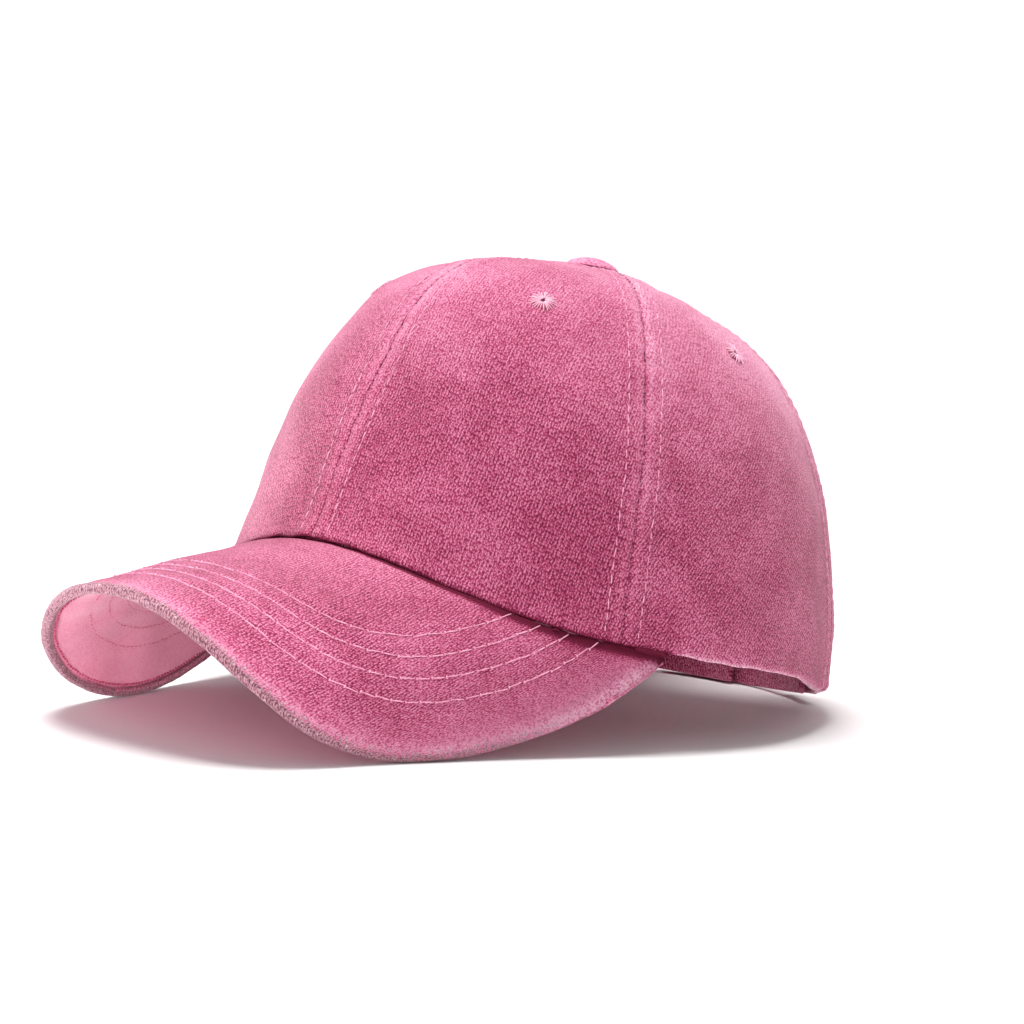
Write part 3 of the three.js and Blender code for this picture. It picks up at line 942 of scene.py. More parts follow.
    def back_layout(
        self, across: np.ndarray, upward: np.ndarray, start: float
    ) -> tuple[np.ndarray, np.ndarray]:
        """Lays a back panel's rows out between the rear seam and the opening's edge.

        Args:
            across: Shares from the seam to the edge.
            upward: Shares from the hem up.
            start: The rear seam's angle.

        Returns:
            Angles and places on the crown.
        """
        turn = np.clip(upward / self.arch_share, 0, 1) * 90
        width, place = self.opening_edge(turn, 0.0)
        above = np.clip((upward - self.arch_share) / (1 - self.arch_share), 0, 1)
        place = place + (self.top_place - place) * (0.35 * smooth_step(0, 1, above) + 0.65 * above)
        edge = 180 - width / self.form.length_per_degree(180, place)
        angle = start + (edge - start) * across
        return angle, place + 0 * across

    def curl_depth(self, around: np.ndarray, climb: np.ndarray) -> np.ndarray:
        """How far the free hem curls inwards at its rear corners.

        Args:
            around: Degrees round from the front.
            climb: How far up the cloth.

        Returns:
            How far in each point lies.
        """
        curl = smooth_step(*self.curl_in, around) * (1 - smooth_step(*self.curl_out, around))
        missing = np.clip(1 - climb / self.hem_curl, 0, 1)
        return self.hem_curl * curl * (1 - np.sqrt(1 - missing**2)) * 0.95

    def panel(self, kind: Kind, side: Side) -> None:
        """Cuts, sews and dresses one panel."""
        patch = self.panel_patch(kind, side)
        near = patch.across if side is Side.LEFT else patch.width - patch.across
        far = patch.width - near
        climb = patch.up + 0 * patch.across
        rise = patch.points[..., 2]
        around = self.angles_of(patch.points)
        free = smooth_step(*self.fray_start, around)
        top = smooth_step(0.9, 1.0, rise / (self.form.height * 1.02))
        near_seed = 21 + kind.value
        seed = 20 + 10 * kind.value + (side is Side.RIGHT)

        height = self.dents(patch.points) + self.seam_relief(near, patch.up, near_seed)
        seam_shade = bell(near, 0, 0.5 * MM)
        wear = 0.5 * bell(near, 1.8 * MM, 1.4 * MM)
        if kind is Kind.BACK:
            far = np.where(rise > self.opening_height, far, 1.0)
        height = height + self.seam_relief(far, patch.up, near_seed + 1)
        seam_shade += bell(far, 0, 0.5 * MM)
        wear += 0.5 * bell(far, 1.8 * MM, 1.4 * MM)
        height += self.hem_roll * bell(climb, 1.6 * MM, 1.7 * MM)
        height -= self.curl_depth(around, climb)
        wear += 2.6 * free * np.exp(-climb / (0.6 * MM)) + 0.3 * np.exp(-climb / (1.2 * MM))
        # Painted shade: darker toward the hem.
        wear -= 0.22 * np.exp(-climb / (16 * MM))
        # Paler toward the top: partly faded cloth, partly painted light from above.
        wear += self.top_fading_and_painted_light[kind.value] * smooth_step(0.4, 0.95, rise / self.form.height)
        puckers = np.stack([near / 0.35, climb * 0.15], -1)
        height += 0.22 * MM * top * soft_noise(puckers, 0.02, seed)
        # Paler still at the very top: partly faded, partly painted light.
        wear += 0.15 * top
        # Painted shade in the seam grooves, and along the hem's lower edge where it lies over the visor.
        shade = 0.16 * np.minimum(seam_shade, 1) + 1.2 * (1 - free) * np.exp(-climb / (0.5 * MM))

        lean = self.twill_leans[kind.value] * side.value
        piece = Workbench.grid(f"panel_{kind.word}_{side.word}", patch.moved(height), lean)
        Workbench.mark_grid(piece, wear=wear, shade=shade)
        self.punch(piece, self.eyelet_angles[kind.value] * side.value)
        Workbench.thicken(piece, self.form.wall * 0.8, 0.45 * MM)
        Workbench.finish(piece, self.twill, Slot.CROWN, f"crown_{kind.word}_{side.word}")

    def punch(self, piece: bpy.types.Object, angle: float) -> None:
        """Cuts the eyelet's hole through a panel.

        Args:
            piece: The panel.
            angle: The eyelet's angle round the crown.
        """
        centre = Vector(self.form.surface(angle, self.eyelet_place()))
        Workbench.pick(piece)
        bpy.ops.object.mode_set(mode="EDIT")
        bpy.ops.mesh.select_all(action="DESELECT")
        bpy.ops.object.mode_set(mode="OBJECT")
        for face in piece.data.polygons:
            face.select = (face.center - centre).length < self.eyelet_hole
        bpy.ops.object.mode_set(mode="EDIT")
        bpy.ops.mesh.delete(type="FACE")
        bpy.ops.object.mode_set(mode="OBJECT")

    def eyelet_place(self) -> float:
        """How far up the crown the eyelets are."""
        return float(self.form.place_at(self.eyelet_height_share * self.form.height))

    def eyelet(self, kind: Kind, side: Side) -> None:
        """Works one eyelet in satin stitch: a thread-covered ring round a small open hole."""
        angle = self.eyelet_angles[kind.value] * side.value
        place = self.eyelet_place()
        centre = self.form.surface(angle, place)
        out = self.form.normal(np.array(angle), np.array(place))
        centre = centre + out * self.dents(centre[None])[0]
        right = np.cross(np.array([0, 0, 1.0]), out)
        right /= np.linalg.norm(right)
        upward = np.cross(out, right)
        rng = np.random.default_rng(int(abs(angle) * 10) + (side is Side.RIGHT))
        rows = []
        strands = self.eyelet_strands
        for level, sign in ((self.eyelet_raised[kind.value], 1), (-self.eyelet_inside, -1)):
            turns = (np.arange(strands) + rng.uniform(-0.25, 0.25, strands)) * (math.tau / strands)
            ways = np.cos(turns)[:, None] * right + np.sin(turns)[:, None] * upward
            inner = rng.uniform(0.45, 1.0, (len(turns), 1)) * MM
            outer = self.eyelet_diameter / 2 + rng.uniform(-1.0, 0.25, (len(turns), 1)) * MM
            starts = centre + ways * inner + out * level
            ends = centre + ways * outer + out * (level - sign * 0.35 * MM)
            normals = np.broadcast_to(out * sign, starts.shape)
            rows.append((starts, ends, normals))
        name = f"eyelet_{kind.word}_{side.word}"
        piece = Sewing().lay(f"{name}_satin", *joined(rows), arch=0.36 * MM)
        Workbench.finish(piece, self.eyelet_thread, Slot.THREAD, name)
        self.eyelet_bed(f"{name}_bed", centre, out)

    def eyelet_bed(self, name: str, centre: np.ndarray, out: np.ndarray) -> None:
        """Fills the cloth's cut edge under the satin with a flat ring of thread, whose darker colour shows
        between the strands as painted shade.

        Args:
            name: The piece's name.
            centre: The eyelet's middle, on the outside of the crown.
            out: The way out of the crown.
        """
        Workbench.clear()
        bpy.ops.mesh.primitive_torus_add(
            major_segments=40,
            minor_segments=10,
            major_radius=self.bed_radius,
            minor_radius=self.bed_thickness,
        )
        piece = bpy.context.object
        piece.name = piece.data.name = name
        for vertex in piece.data.vertices:
            vertex.co.z *= self.bed_flatness
        turn = Vector(out).to_track_quat("Z", "Y").to_matrix().to_4x4()
        piece.data.transform(Matrix.Translation(Vector(centre - out * self.bed_depth)) @ turn)
        Workbench.finish(piece, self.bed_thread, Slot.THREAD)

    def button(self) -> None:
        """Covers the button: a dome of twill gathered round its rim."""
        Workbench.clear()
        radius = self.button_diameter / 2
        bpy.ops.mesh.primitive_uv_sphere_add(segments=96, ring_count=40, radius=radius)
        piece = bpy.context.object
        piece.name = piece.data.name = "button_cover"
        base = self.form.surface(0, 1.0)
        points = np.array([v.co for v in piece.data.vertices])
        turn = np.arctan2(points[:, 1], points[:, 0])
        around = np.hypot(points[:, 0], points[:, 1]) / radius
        upper = points[:, 2] > 0
        lift = np.abs(points[:, 2]) / radius
        z = np.where(upper, lift * self.button_height * 0.76, -lift * self.button_under)
        folds = np.sin(turn * 17) + 0.5 * np.sin(turn * 29 + 1)
        grow = 1 + 0.006 * folds * bell(around, 1.0, 0.16) * np.where(upper, 0.3, 1.0)
        points[:, 0] *= grow
        points[:, 1] *= grow
        z += 0.1 * MM * soft_noise(points, 0.011, 5) * np.where(upper, 1, 0)
        points[:, 2] = z + self.button_height * 0.12 + self.button_lift
        points[:, 2] += points[:, 1] * self.button_tilt
        points += base
        piece.data.vertices.foreach_set("co", points.astype(np.float32).ravel())
        layer = piece.data.uv_layers.active
        layer.name = "cloth"
        corners = np.empty(len(piece.data.loops), np.int32)
        piece.data.loops.foreach_get("vertex_index", corners)
        flat = (points[:, :2] - base[:2]) / MM
        layer.data.foreach_set("uv", flat[corners].astype(np.float32).ravel())
        # The upper half is paler, partly rubbed and partly painted light from above; the lower half gets
        # painted shade under the dome.
        Workbench.mark(piece, "wear", np.where(upper, 1.1 + 0.4 * around**3, 0.2))
        Workbench.mark(piece, "shade", np.where(upper, 0, 0.85))
        Workbench.finish(piece, self.button_twill, Slot.CROWN, "top_button")

    def seam_line(self, angle: float, offset: float, low: float, high: float) -> StitchRow:
        """A line beside a seam.

        Args:
            angle: The seam's angle.
            offset: How far from it, toward greater angles.
            low: The place at which the line starts.
            high: The place at which it ends.

        Returns:
            The line, ready to be cut.
        """
        place = np.linspace(low, high, 200)
        beside = angle + offset / self.form.length_per_degree(angle, place)
        points = self.form.surface(beside, place)
        normals = self.form.normal(beside, place)
        sunk = 0.6 * self.row_dent if offset else 0.7 * self.groove
        points = points + normals * (self.dents(points) + (self.seam_rise - sunk))[:, None]
        seed = int(angle * 7 + offset * 9e4) % 9973
        return StitchRow(points, normals, self.stitch_pitch, seed=seed)

    def topstitching(self) -> None:
        """Sews the rows beside the seams and lays near-black specks along them as painted shadow in the
        needle holes.
        """
        rows, holes = [], []
        front, side, rear = self.form.seams[:3]
        for angle in (front, side, -side, rear, -rear):
            hem = float(self.form.place_at(self.form.hem_height(angle) + 1.2 * MM))
            for sign in (-1, 1):
                rows.append(self.seam_line(angle, sign * self.row_offset, hem, self.row_top).cut())
            line = self.seam_line(angle, 0.0, hem, self.row_top)
            line.pitch, line.share = self.hole_pitch, 0.18
            holes.append(line.cut())
        low = float(self.form.place_at(self.opening_height + 2.5 * MM))
        for sign in (-1, 1):
            rows.append(self.seam_line(180.0, sign * self.row_offset, low, 0.955).cut())
        piece = Sewing().lay("crown_topstitching", *joined(rows), arch=0.16 * MM)
        Workbench.finish(piece, self.thread, Slot.THREAD)
        # Painted shadow: near-black specks in the seam groove stand for the shade inside the needle holes.
        piece = Sewing(0.4 * MM).lay("seam_needle_hole_shadows", *joined(holes), arch=0.0)
        Workbench.finish(piece, self.hole_dark, Slot.CROWN)

    def build(self) -> None:
        """Builds the crown's pieces."""
        for side in Side:
            for kind in Kind:
                self.panel(kind, side)
                self.eyelet(kind, side)
        self.button()
        self.topstitching()


# Visor


@dataclass
class Visor:
    """A stiffened visor: twill rolled over its edge, salmon cloth under it, rows through both."""

    twill: bpy.types.Material
    under_twill: bpy.types.Material
    thread: bpy.types.Material
    edge_thread: bpy.types.Material
    under_thread: bpy.types.Material
    form: CrownForm = field(default_factory=CrownForm)
    reach: float = 65 * MM
    half_span: float = 82 * MM
    drop: float = 43 * MM
    end_angle: float = 70.0
    thickness: float = 3.1 * MM
    cover: float = 0.8 * MM
    under_depth: float = 2.55 * MM
    under_wall: float = 0.9 * MM
    tuck: float = 2.6 * MM
    tuck_depth: float = 1.65 * MM
    end_trim: float = 0.006
    stations: int = 330
    row_distances: tuple[float, ...] = (15.5 * MM, 21.7 * MM, 27.6 * MM, 33.5 * MM)
    stitch_pitch: float = 4.5 * MM
    edge_row: float = 3.75 * MM
    edge_pitch: float = 1.5 * MM
    flat_rows: int = 64
    bead_rows: int = 18
    lip_rows: int = 3
    tuck_rows: int = 8
    edge: tuple[tuple[float, float, float, float], ...] = (
        (0, 1, 0.295, 0),
        (0.203, 0.99, 0.349, 0.164),
        (0.386, 0.95, 0.502, 0.331),
        (0.53, 0.872, 0.716, 0.486),
        (0.62, 0.755, 0.912, 0.636),
        (0.68, 0.608, 0.993, 0.771),
        (0.749, 0.449, 0.928, 0.9),
        (0.834, 0.292, 0.735, 0.964),
        (0.923, 0.149, 0.456, 0.989),
        (1, 0, 0.04, 1),
    )

    def column(self, number: int, around: np.ndarray) -> np.ndarray:
        """One column of the whole edge, right to left; the side and hem columns change sign."""
        half = np.array(self.edge)[:, number]
        mirrored = -half[:0:-1] if number in (0, 3) else half[:0:-1]
        return smooth_column(np.concatenate([mirrored, half]), around)

    def edge_point(self, around: np.ndarray) -> np.ndarray:
        """Points of the visor's edge, from the wearer's right to the left."""
        end = -self.form.half_length * math.cos(math.radians(self.end_angle))
        front = -self.form.half_length * self.form.sections[0][1] - self.reach
        return np.stack(
            [
                self.half_span * self.column(0, around),
                end + (front - end) * self.column(1, around),
                -self.drop * self.column(2, around),
            ],
            -1,
        )

    def sheet(self, around: np.ndarray, out: np.ndarray) -> np.ndarray:
        """Points of the visor's top, 0 out at the crown and 1 at its edge."""
        around, out = np.broadcast_arrays(around, out)
        angle = self.end_angle * self.column(3, around)
        place = self.form.place_at(self.form.hem_height(angle) - 0.15 * MM)
        hem = self.form.point(angle, place, 0.0 * angle)
        rim = self.edge_point(around)
        return hem + (rim - hem) * out[..., None]

    def normal(self, around: np.ndarray) -> np.ndarray:
        """The way up from the visor's top along each of its straight lines."""
        settled = np.clip(around, 0.06, 0.94)
        half = 0.5 + 0 * settled
        across = self.sheet(settled + 0.01, half) - self.sheet(settled - 0.01, half)
        ahead = self.run(settled)
        normal = np.cross(ahead, across)
        return normal / np.linalg.norm(normal, axis=-1, keepdims=True)

    def run(self, around: np.ndarray) -> np.ndarray:
        """Each straight line as a vector, crown to edge."""
        return self.sheet(around, 1 + 0 * around) - self.sheet(around, 0 * around)

    def length(self, around: np.ndarray) -> np.ndarray:
        """The length of each straight line."""
        return np.linalg.norm(self.run(around), axis=-1)

    def edge_distance(self, points: np.ndarray) -> np.ndarray:
        """How far each point is from the visor's edge."""
        rim = self.edge_point(np.linspace(0.015, 0.985, 480))
        runs = np.linspace(0.0, 1.0, 41)[1:, None] * 40 * MM
        ahead = [rim[end] - rim[end + (12 if end == 0 else -12)] for end in (0, -1)]
        beyond = [rim[end] + runs * way / np.linalg.norm(way) for end, way in zip((0, -1), ahead)]
        rim = np.concatenate([rim, *beyond])
        flat = points.reshape(-1, 3)
        nearest = np.empty(len(flat))
        for start in range(0, len(flat), 4000):
            gaps = flat[start : start + 4000, None] - rim[None]
            nearest[start : start + 4000] = np.sqrt((gaps**2).sum(-1).min(1))
        return nearest.reshape(points.shape[:-1])

    def around_values(self) -> np.ndarray:
        """The shares of the way round the edge at which the visor is cut."""
        return np.linspace(self.end_trim, 1 - self.end_trim, self.stations)

    def cover_parts(self, around: np.ndarray) -> list[np.ndarray]:
        """The cover's four parts, from behind the hem out: tuck, flat, rolled bead and lip."""
        length = self.length(around)
        radius = self.thickness / 2
        reach = np.maximum(1 - radius / length, 0.35)
        flat = self.sheet(around, np.linspace(0, 1, self.flat_rows)[:, None] * reach)
        normal = self.normal(around)
        ahead = self.run(around)
        ahead = ahead / np.linalg.norm(ahead, axis=-1, keepdims=True)
        centre = flat[-1:] - normal * radius
        narrow = np.minimum(length * 0.5 / radius, 1)[..., None]
        turns = np.radians(np.linspace(80, -118, self.bead_rows))[:, None, None]
        bead = centre + (ahead * np.cos(turns) * narrow + normal * np.sin(turns)) * radius * 1.02
        back = np.linspace(0.15, 1, self.lip_rows)[:, None, None]
        lip = bead[-1:] - ahead * back * 1.1 * MM * narrow + normal * back * 0.35 * MM
        share = np.linspace(1, 0, self.tuck_rows + 1)[:-1, None, None]
        inward = self.form.normal(self.end_angle * self.column(3, around), 0.0 * around)
        fade = smooth_step(0.04, 0.16, np.minimum(around, 1 - around))[..., None]
        upward = np.array([0, 0, 1]) * np.maximum(2 * share - 1, 0) * self.tuck
        tuck = flat[:1] + (upward - inward * np.minimum(2 * share, 1) * self.tuck_depth) * fade
        return [tuck, flat, bead, lip]

    def top(self) -> None:
        """Stretches the twill over the board and rolls it under the edge."""
        around = self.around_values()[None, :]
        parts = self.cover_parts(around)
        patch = ClothPatch(np.concatenate(parts)[::-1])
        distance = self.edge_distance(patch.points)
        part = np.concatenate([np.full(len(rows), number) for number, rows in enumerate(parts)])
        part = np.repeat(part[::-1, None], patch.points.shape[1], axis=1)
        flat, behind, rolled = part == 1, part <= 1, part >= 2
        root = np.linalg.norm(patch.points - parts[1][:1], axis=-1)

        height = np.zeros(distance.shape)
        beat = 0.75 + 0.25 * np.cos(math.tau * patch.across / self.stitch_pitch)
        for row in self.row_distances:
            height -= np.where(flat, 0.24 * MM * beat * bell(distance, row, 0.8 * MM), 0)
            height += np.where(flat, 0.10 * MM * bell(distance - row, 3.0 * MM, 2.2 * MM), 0)
        height += np.where(flat, 0.22 * MM * soft_noise(patch.points, 0.038, 51), 0)
        height += np.where(flat, 0.05 * MM * soft_noise(patch.points, 0.007, 52), 0)
        height += np.where(rolled, 0.04 * MM * (soft_noise(patch.points, 0.005, 53) - 1.6), 0)
        height -= np.where(behind, 0.4 * MM * bell(root, 0, 2.2 * MM), 0)
        height -= np.where(flat, 0.22 * MM * bell(distance, 4.2 * MM, 1.1 * MM), 0)

        pale = 1.35 * np.exp(-np.maximum(distance - 2.5 * MM, 0) / (2.7 * MM)) + 0.1
        rub = np.where(part == 2, 1.0, 0.0) + np.where(part == 3, 0.8, 0.0)
        rub += np.where(flat, 0.68 * bell(distance, 0, 3.4 * MM), 0)
        rub *= smooth_step(0.02, 0.17, np.minimum(around, 1 - around))
        # Painted shadow: a dark band on the visor's root under the crown's hem, widest toward its ends.
        valley = (1.7 + 3.0 * smooth_step(0.1, 0.32, np.abs(around - 0.5))) * MM
        shade = np.where(behind, 1.25 * np.exp(-((root / valley) ** 3)), 0)

        piece = Workbench.grid("visor_cover", patch.moved(height), -6.0)
        wear = np.where(flat, pale, 0.2)
        Workbench.mark_grid(piece, wear=wear, shade=shade, rub=np.minimum(rub, 1))
        Workbench.thicken(piece, self.cover)
        Workbench.finish(piece, self.twill, Slot.CROWN, "visor_top")

    def under(self) -> None:
        """Lays the salmon cloth against the underside of the board."""
        around = self.around_values()[None, :]
        inset = np.minimum(3.0 * MM / self.length(around), 0.5)
        points = self.sheet(around, np.linspace(-0.02, 1, 52)[:, None] * (1 - inset))
        patch = ClothPatch(points - self.normal(around) * self.under_depth)
        distance = self.edge_distance(points)
        height = 0.22 * MM * soft_noise(patch.points * np.array([1, 0.5, 1]), 0.016, 61)
        height += 0.12 * MM * soft_noise(patch.points, 0.05, 62)
        for row in self.row_distances:
            height = height - 0.16 * MM * bell(distance, row, 0.9 * MM)
        height = height * smooth_step(0, 1, np.clip((distance - 2.6 * MM) / (2.2 * MM), 0, 1))
        piece = Workbench.grid("visor_underside", patch.moved(height), 10.0)
        # Painted shade along the border under the rolled edge; the outermost strip is also marked as
        # rubbed.
        shade = bell(distance, 2.8 * MM, 0.8 * MM)
        rim = 1 - smooth_step(2.9 * MM, 3.6 * MM, distance)
        dark = 0.45 * shade + 0.35 * rim
        Workbench.mark_grid(piece, shade=dark, wear=0 * shade, rub=0.5 * rim)
        Workbench.thicken(piece, self.under_wall)
        Workbench.finish(piece, self.under_twill, Slot.UNDERVISOR, "visor_under")

    def row_line(self, distance: float, depth: float) -> tuple[np.ndarray, np.ndarray]:
        """A line on the visor at an even distance from its edge.

        Args:
            distance: The distance from the edge.
            depth: How far under the visor's top it lies.

        Returns:
            The line's points and its normals.
        """
        around = np.linspace(0.02, 0.98, 500)
        outs = np.linspace(0.0, 1, 120)
        points = self.sheet(around[:, None], outs[None, :])
        gaps = self.edge_distance(points)
        keep, found = [], []
        for number in range(len(around)):
            inside = np.flatnonzero(gaps[number] >= distance)
            if len(inside):
                last = inside[-1]
                step = (gaps[number, last] - distance) / (gaps[number, last] - gaps[number, last + 1])
                keep.append(number)
                found.append(outs[last] + step * (outs[1] - outs[0]))
        where, outs = around[keep], np.array(found)
        hem = self.edge_distance(self.sheet(around, 0 * around))
        right, left = around[hem >= distance][[0, -1]]
        run = np.linspace(0, 1, 14)[1:]
        where = np.concatenate(
            [(where[0] + (right - where[0]) * run)[::-1], where, where[-1] + (left - where[-1]) * run]
        )
        outs = np.concatenate([(outs[0] * (1 - run))[::-1], outs, outs[-1] * (1 - run)])
        line = self.sheet(where, outs)
        normals = self.normal(where)
        return line - normals * depth, normals

    def topstitching(self) -> None:
        """Sews the four rows through the visor, and the fine row that holds its rolled edge."""
        over, knots, beneath = [], [], []
        for number, distance in enumerate(self.row_distances):
            points, normals = self.row_line(distance, 0.16 * MM)
            root = np.minimum(*[np.linalg.norm(points - points[end], axis=1) for end in (0, -1)])
            relief = 0.22 * MM * soft_noise(points, 0.038, 51)
            points = points + normals * (relief - 0.5 * MM * bell(root, 0, 2.4 * MM))[:, None]
            row = StitchRow(points, normals, self.stitch_pitch, 0.88, 0.14 * MM, seed=70 + number)
            starts, ends, ways = row.cut()
            over.append((starts, ends, ways))
            heads = starts + (starts - ends) * 0.035
            half = 0.06 * (ends - starts)
            knots.append((heads - half, heads + half, ways))
            points, normals = self.row_line(distance, self.under_depth + 0.16 * MM)
            row = StitchRow(points, -normals, self.stitch_pitch / 2, share=0.5, seed=80 + number)
            beneath.append(row.cut())
        points, normals = self.row_line(self.edge_row, self.under_depth + 0.12 * MM)
        edge = StitchRow(points, -normals, self.edge_pitch, share=0.52, wobble=0.1 * MM, seed=90)
        for name, rows, thread, arch_mm, thickness_mm in (
            ("visor_edge_stitching", [edge.cut()], self.edge_thread, 0.16, 0.62),
            ("visor_topstitching", over, self.thread, 0.18, 0.38),
            ("visor_stitch_knots", knots, self.thread, 0.16, 0.85),
            ("undervisor_stitching", beneath, self.under_thread, 0.12, 0.34),
        ):
            piece = Sewing(thickness_mm * MM).lay(name, *joined(rows), arch=arch_mm * MM)
            Workbench.finish(piece, thread, Slot.THREAD)

    def build(self) -> None:
        """Builds the visor's pieces."""
        self.top()
        self.under()
        self.topstitching()


# Band, binding and closure


@dataclass
class Fittings:
    """The sweatband, the tape round the ponytail opening and the two tabs of the closure."""

    crown: Crown
    band_cloth: bpy.types.Material
    thread: bpy.types.Material
    hooks: bpy.types.Material
    band_height: float = 31 * MM
    band_wall: float = 1.2 * MM
    band_inset: float = 0.8 * MM
    band_tuck: float = 3.6 * MM
    gap: float = 0.3 * MM
    band_row: float = 3.4 * MM
    tape_width: float = 5 * MM
    tape_thickness: float = 3 * MM
    tape_proud: float = 0.7 * MM
    tape_squareness: float = 0.55
    strap_height: float = 24 * MM
    strap_wall: float = 2.2 * MM
    strap_anchor: float = 13 * MM
    overlap_left: float = 24 * MM
    overlap_right: float = 10 * MM
    strap_drop: float = 0.3 * MM
    pad_wall: float = 1.2 * MM
    pad_margin: float = 3 * MM
    tab_row: float = 2.4 * MM
    tab_foot_row: float = 1.9 * MM

    @property
    def form(self) -> CrownForm:
        """The crown's own surface."""
        return self.crown.form

    @property
    def anchor(self) -> float:
        """How far from the middle of the back the tabs are sewn in."""
        return self.crown.opening_half_width + self.strap_anchor

    @property
    def outer_depth(self) -> float:
        """How far under the crown's surface the outer tab lies."""
        return self.tape_thickness - self.tape_proud + self.gap

    def back_angle(self, distance: np.ndarray) -> np.ndarray:
        """The angle at a distance along the hem from the middle of the back, left positive."""
        return 180 - distance / self.form.length_per_degree(180, 0.0)

    def sweatband(self) -> None:
        """Lines the hem with a folded cotton band."""
        end = float(self.back_angle(self.anchor + self.gap))
        angle = np.linspace(end, -end, 420)[None, :]
        up = np.linspace(0, 1, 26)[:, None]
        tucked = self.band_tuck * smooth_step(98.0, 118.0, np.abs(angle))
        low = self.form.place_at(self.form.hem_height(angle) + self.band_inset + tucked)
        high = self.form.place_at(self.band_height)
        place = low + (high - low) * up
        depth = self.form.wall + self.gap + self.band_wall
        patch = ClothPatch(self.form.point(angle, place, depth + 0 * place))
        height = 0.3 * MM * np.sin(np.pi * up) + 0.16 * MM * soft_noise(patch.points, 0.018, 91)
        edge = np.minimum(patch.up, self.band_height - patch.up)
        height = height - 0.25 * MM * bell(edge, self.band_row, 0.9 * MM)
        piece = Workbench.grid("sweatband_lining", patch.moved(height), 30.0)
        Workbench.mark_grid(piece, wear=0.3 * np.exp(-edge / (1.2 * MM)), shade=0 * edge)
        Workbench.thicken(piece, self.band_wall, 0.35 * MM)
        Workbench.finish(piece, self.band_cloth, Slot.BAND, "sweatband")

    def opening_line(
        self, turns: np.ndarray, inset: float | np.ndarray
    ) -> tuple[np.ndarray, np.ndarray]:
        """The opening's whole outline.

        Args:
            turns: Degrees along it, 0 at the left foot, 90 at the top and 180 at the right foot.
            inset: How far inside it.

        Returns:
            Angles and places on the crown.
        """
        width, place = self.crown.opening_edge(np.where(turns <= 90, turns, 180 - turns), inset)
        return 180 + np.sign(turns - 90) * width / self.form.length_per_degree(180, place), place

    def tape_patch(self) -> ClothPatch:
        """The folded tape's outside as one closed strip round its own section."""
        turns = np.linspace(0, 180, 260)[None, :]
        section = np.linspace(0, math.tau, 25)[:, None]
        across, through = (
            0.5 - 0.5 * np.sign(wave) * np.abs(wave) ** self.tape_squareness
            for wave in (np.cos(section), np.sin(section))
        )
        angle, place = self.opening_line(turns, self.gap + across * self.tape_width)
        depth = through * self.tape_thickness - self.tape_proud
        return ClothPatch(self.form.point(angle, place, depth))

    def tape(self) -> None:
        """Folds the tape round the edge of the opening."""
        patch = self.tape_patch()
        height = 0.12 * MM * soft_noise(patch.points, 0.006, 95)
        height = height + 0.1 * MM * soft_noise(patch.points, 0.02, 96)
        height[-1] = height[0]
        centre = patch.points.mean(0, keepdims=True)
        outward = np.sign(((patch.points - centre) * patch.normals).sum(-1).mean())
        cloth = patch.moved(height * outward)
        if outward < 0:
            cloth = ClothPatch(cloth.points[:, ::-1])
        cloth.points[-1] = cloth.points[0]
        piece = Workbench.grid("opening_tape", cloth, 45.0)
        nothing = 0 * cloth.across
        Workbench.mark_grid(piece, wear=0.35 + nothing, shade=nothing)
        self.close_strip(piece)
        Workbench.finish(piece, self.crown.twill, Slot.CROWN, "opening_binding")

    @staticmethod
    def close_strip(piece: bpy.types.Object) -> None:
        """Joins the strip's first and last rows and fills its two ends."""
        Workbench.pick(piece)
        bpy.ops.object.mode_set(mode="EDIT")
        bpy.ops.mesh.select_all(action="SELECT")
        bpy.ops.mesh.remove_doubles(threshold=1e-6)
        bpy.ops.mesh.select_all(action="DESELECT")
        bpy.ops.mesh.select_non_manifold()
        bpy.ops.mesh.fill_holes(sides=0)
        bpy.ops.mesh.select_all(action="SELECT")
        bpy.ops.mesh.normals_make_consistent(inside=False)
        bpy.ops.object.mode_set(mode="OBJECT")

    def tab(
        self,
        name: str,
        span: tuple[float, float],
        heights: tuple[float, float],
        depth_at: Callable[[np.ndarray], np.ndarray],
        wall: float,
        material: bpy.types.Material,
        slot: Slot,
        node: str,
    ) -> None:
        """Makes one flat piece of the closure.

        Args:
            name: The piece's name.
            span: Where it starts and ends, from the middle of the back, left positive.
            heights: The heights of its lower and upper edges.
            depth_at: Gives its depth under the crown at a distance from the middle.
            wall: Its thickness.
            material: Its finish.
            slot: The slot of the finish.
            node: The node that it replaces.
        """
        low, high = heights
        distance = np.linspace(*span, 90)[None, :]
        up = np.linspace(0, 1, 26)[:, None]
        place = self.form.place_at(low + 0 * distance + (high - low) * up)
        angle = self.back_angle(distance) + 0 * up
        patch = ClothPatch(self.form.point(angle, place, depth_at(distance) + 0 * up))
        edge = np.minimum(np.minimum(patch.up, patch.up[-1:] - patch.up), patch.width - patch.across)
        swell = 0.12 * MM * soft_noise(patch.points, 0.02, 97)
        swell = swell - 0.3 * MM * np.exp(-edge / (0.8 * MM))
        swell = swell - 0.22 * MM * bell(edge, self.tab_row, 0.8 * MM)
        swell = np.where(patch.points[..., 2] < 1.5 * MM, np.minimum(swell, 0), swell)
        piece = Workbench.grid(name, patch.moved(swell), 20.0)
        Workbench.mark_grid(piece, wear=0.5 * np.exp(-edge / (1.2 * MM)), shade=0 * edge)
        Workbench.thicken(piece, wall, 0.5 * MM, 3)
        Workbench.finish(piece, material, slot, node)

    def closure(self) -> None:
        """Makes the outer tab, the inner tab and the hook-and-loop pad between them."""
        outer = self.outer_depth
        pad = outer + self.strap_wall + self.gap
        inner = pad + self.pad_wall + self.gap
        twill = self.crown.twill

        def level(depth: float) -> Callable[[np.ndarray], np.ndarray]:
            """One depth all along."""
            return lambda distance: depth + 0 * distance

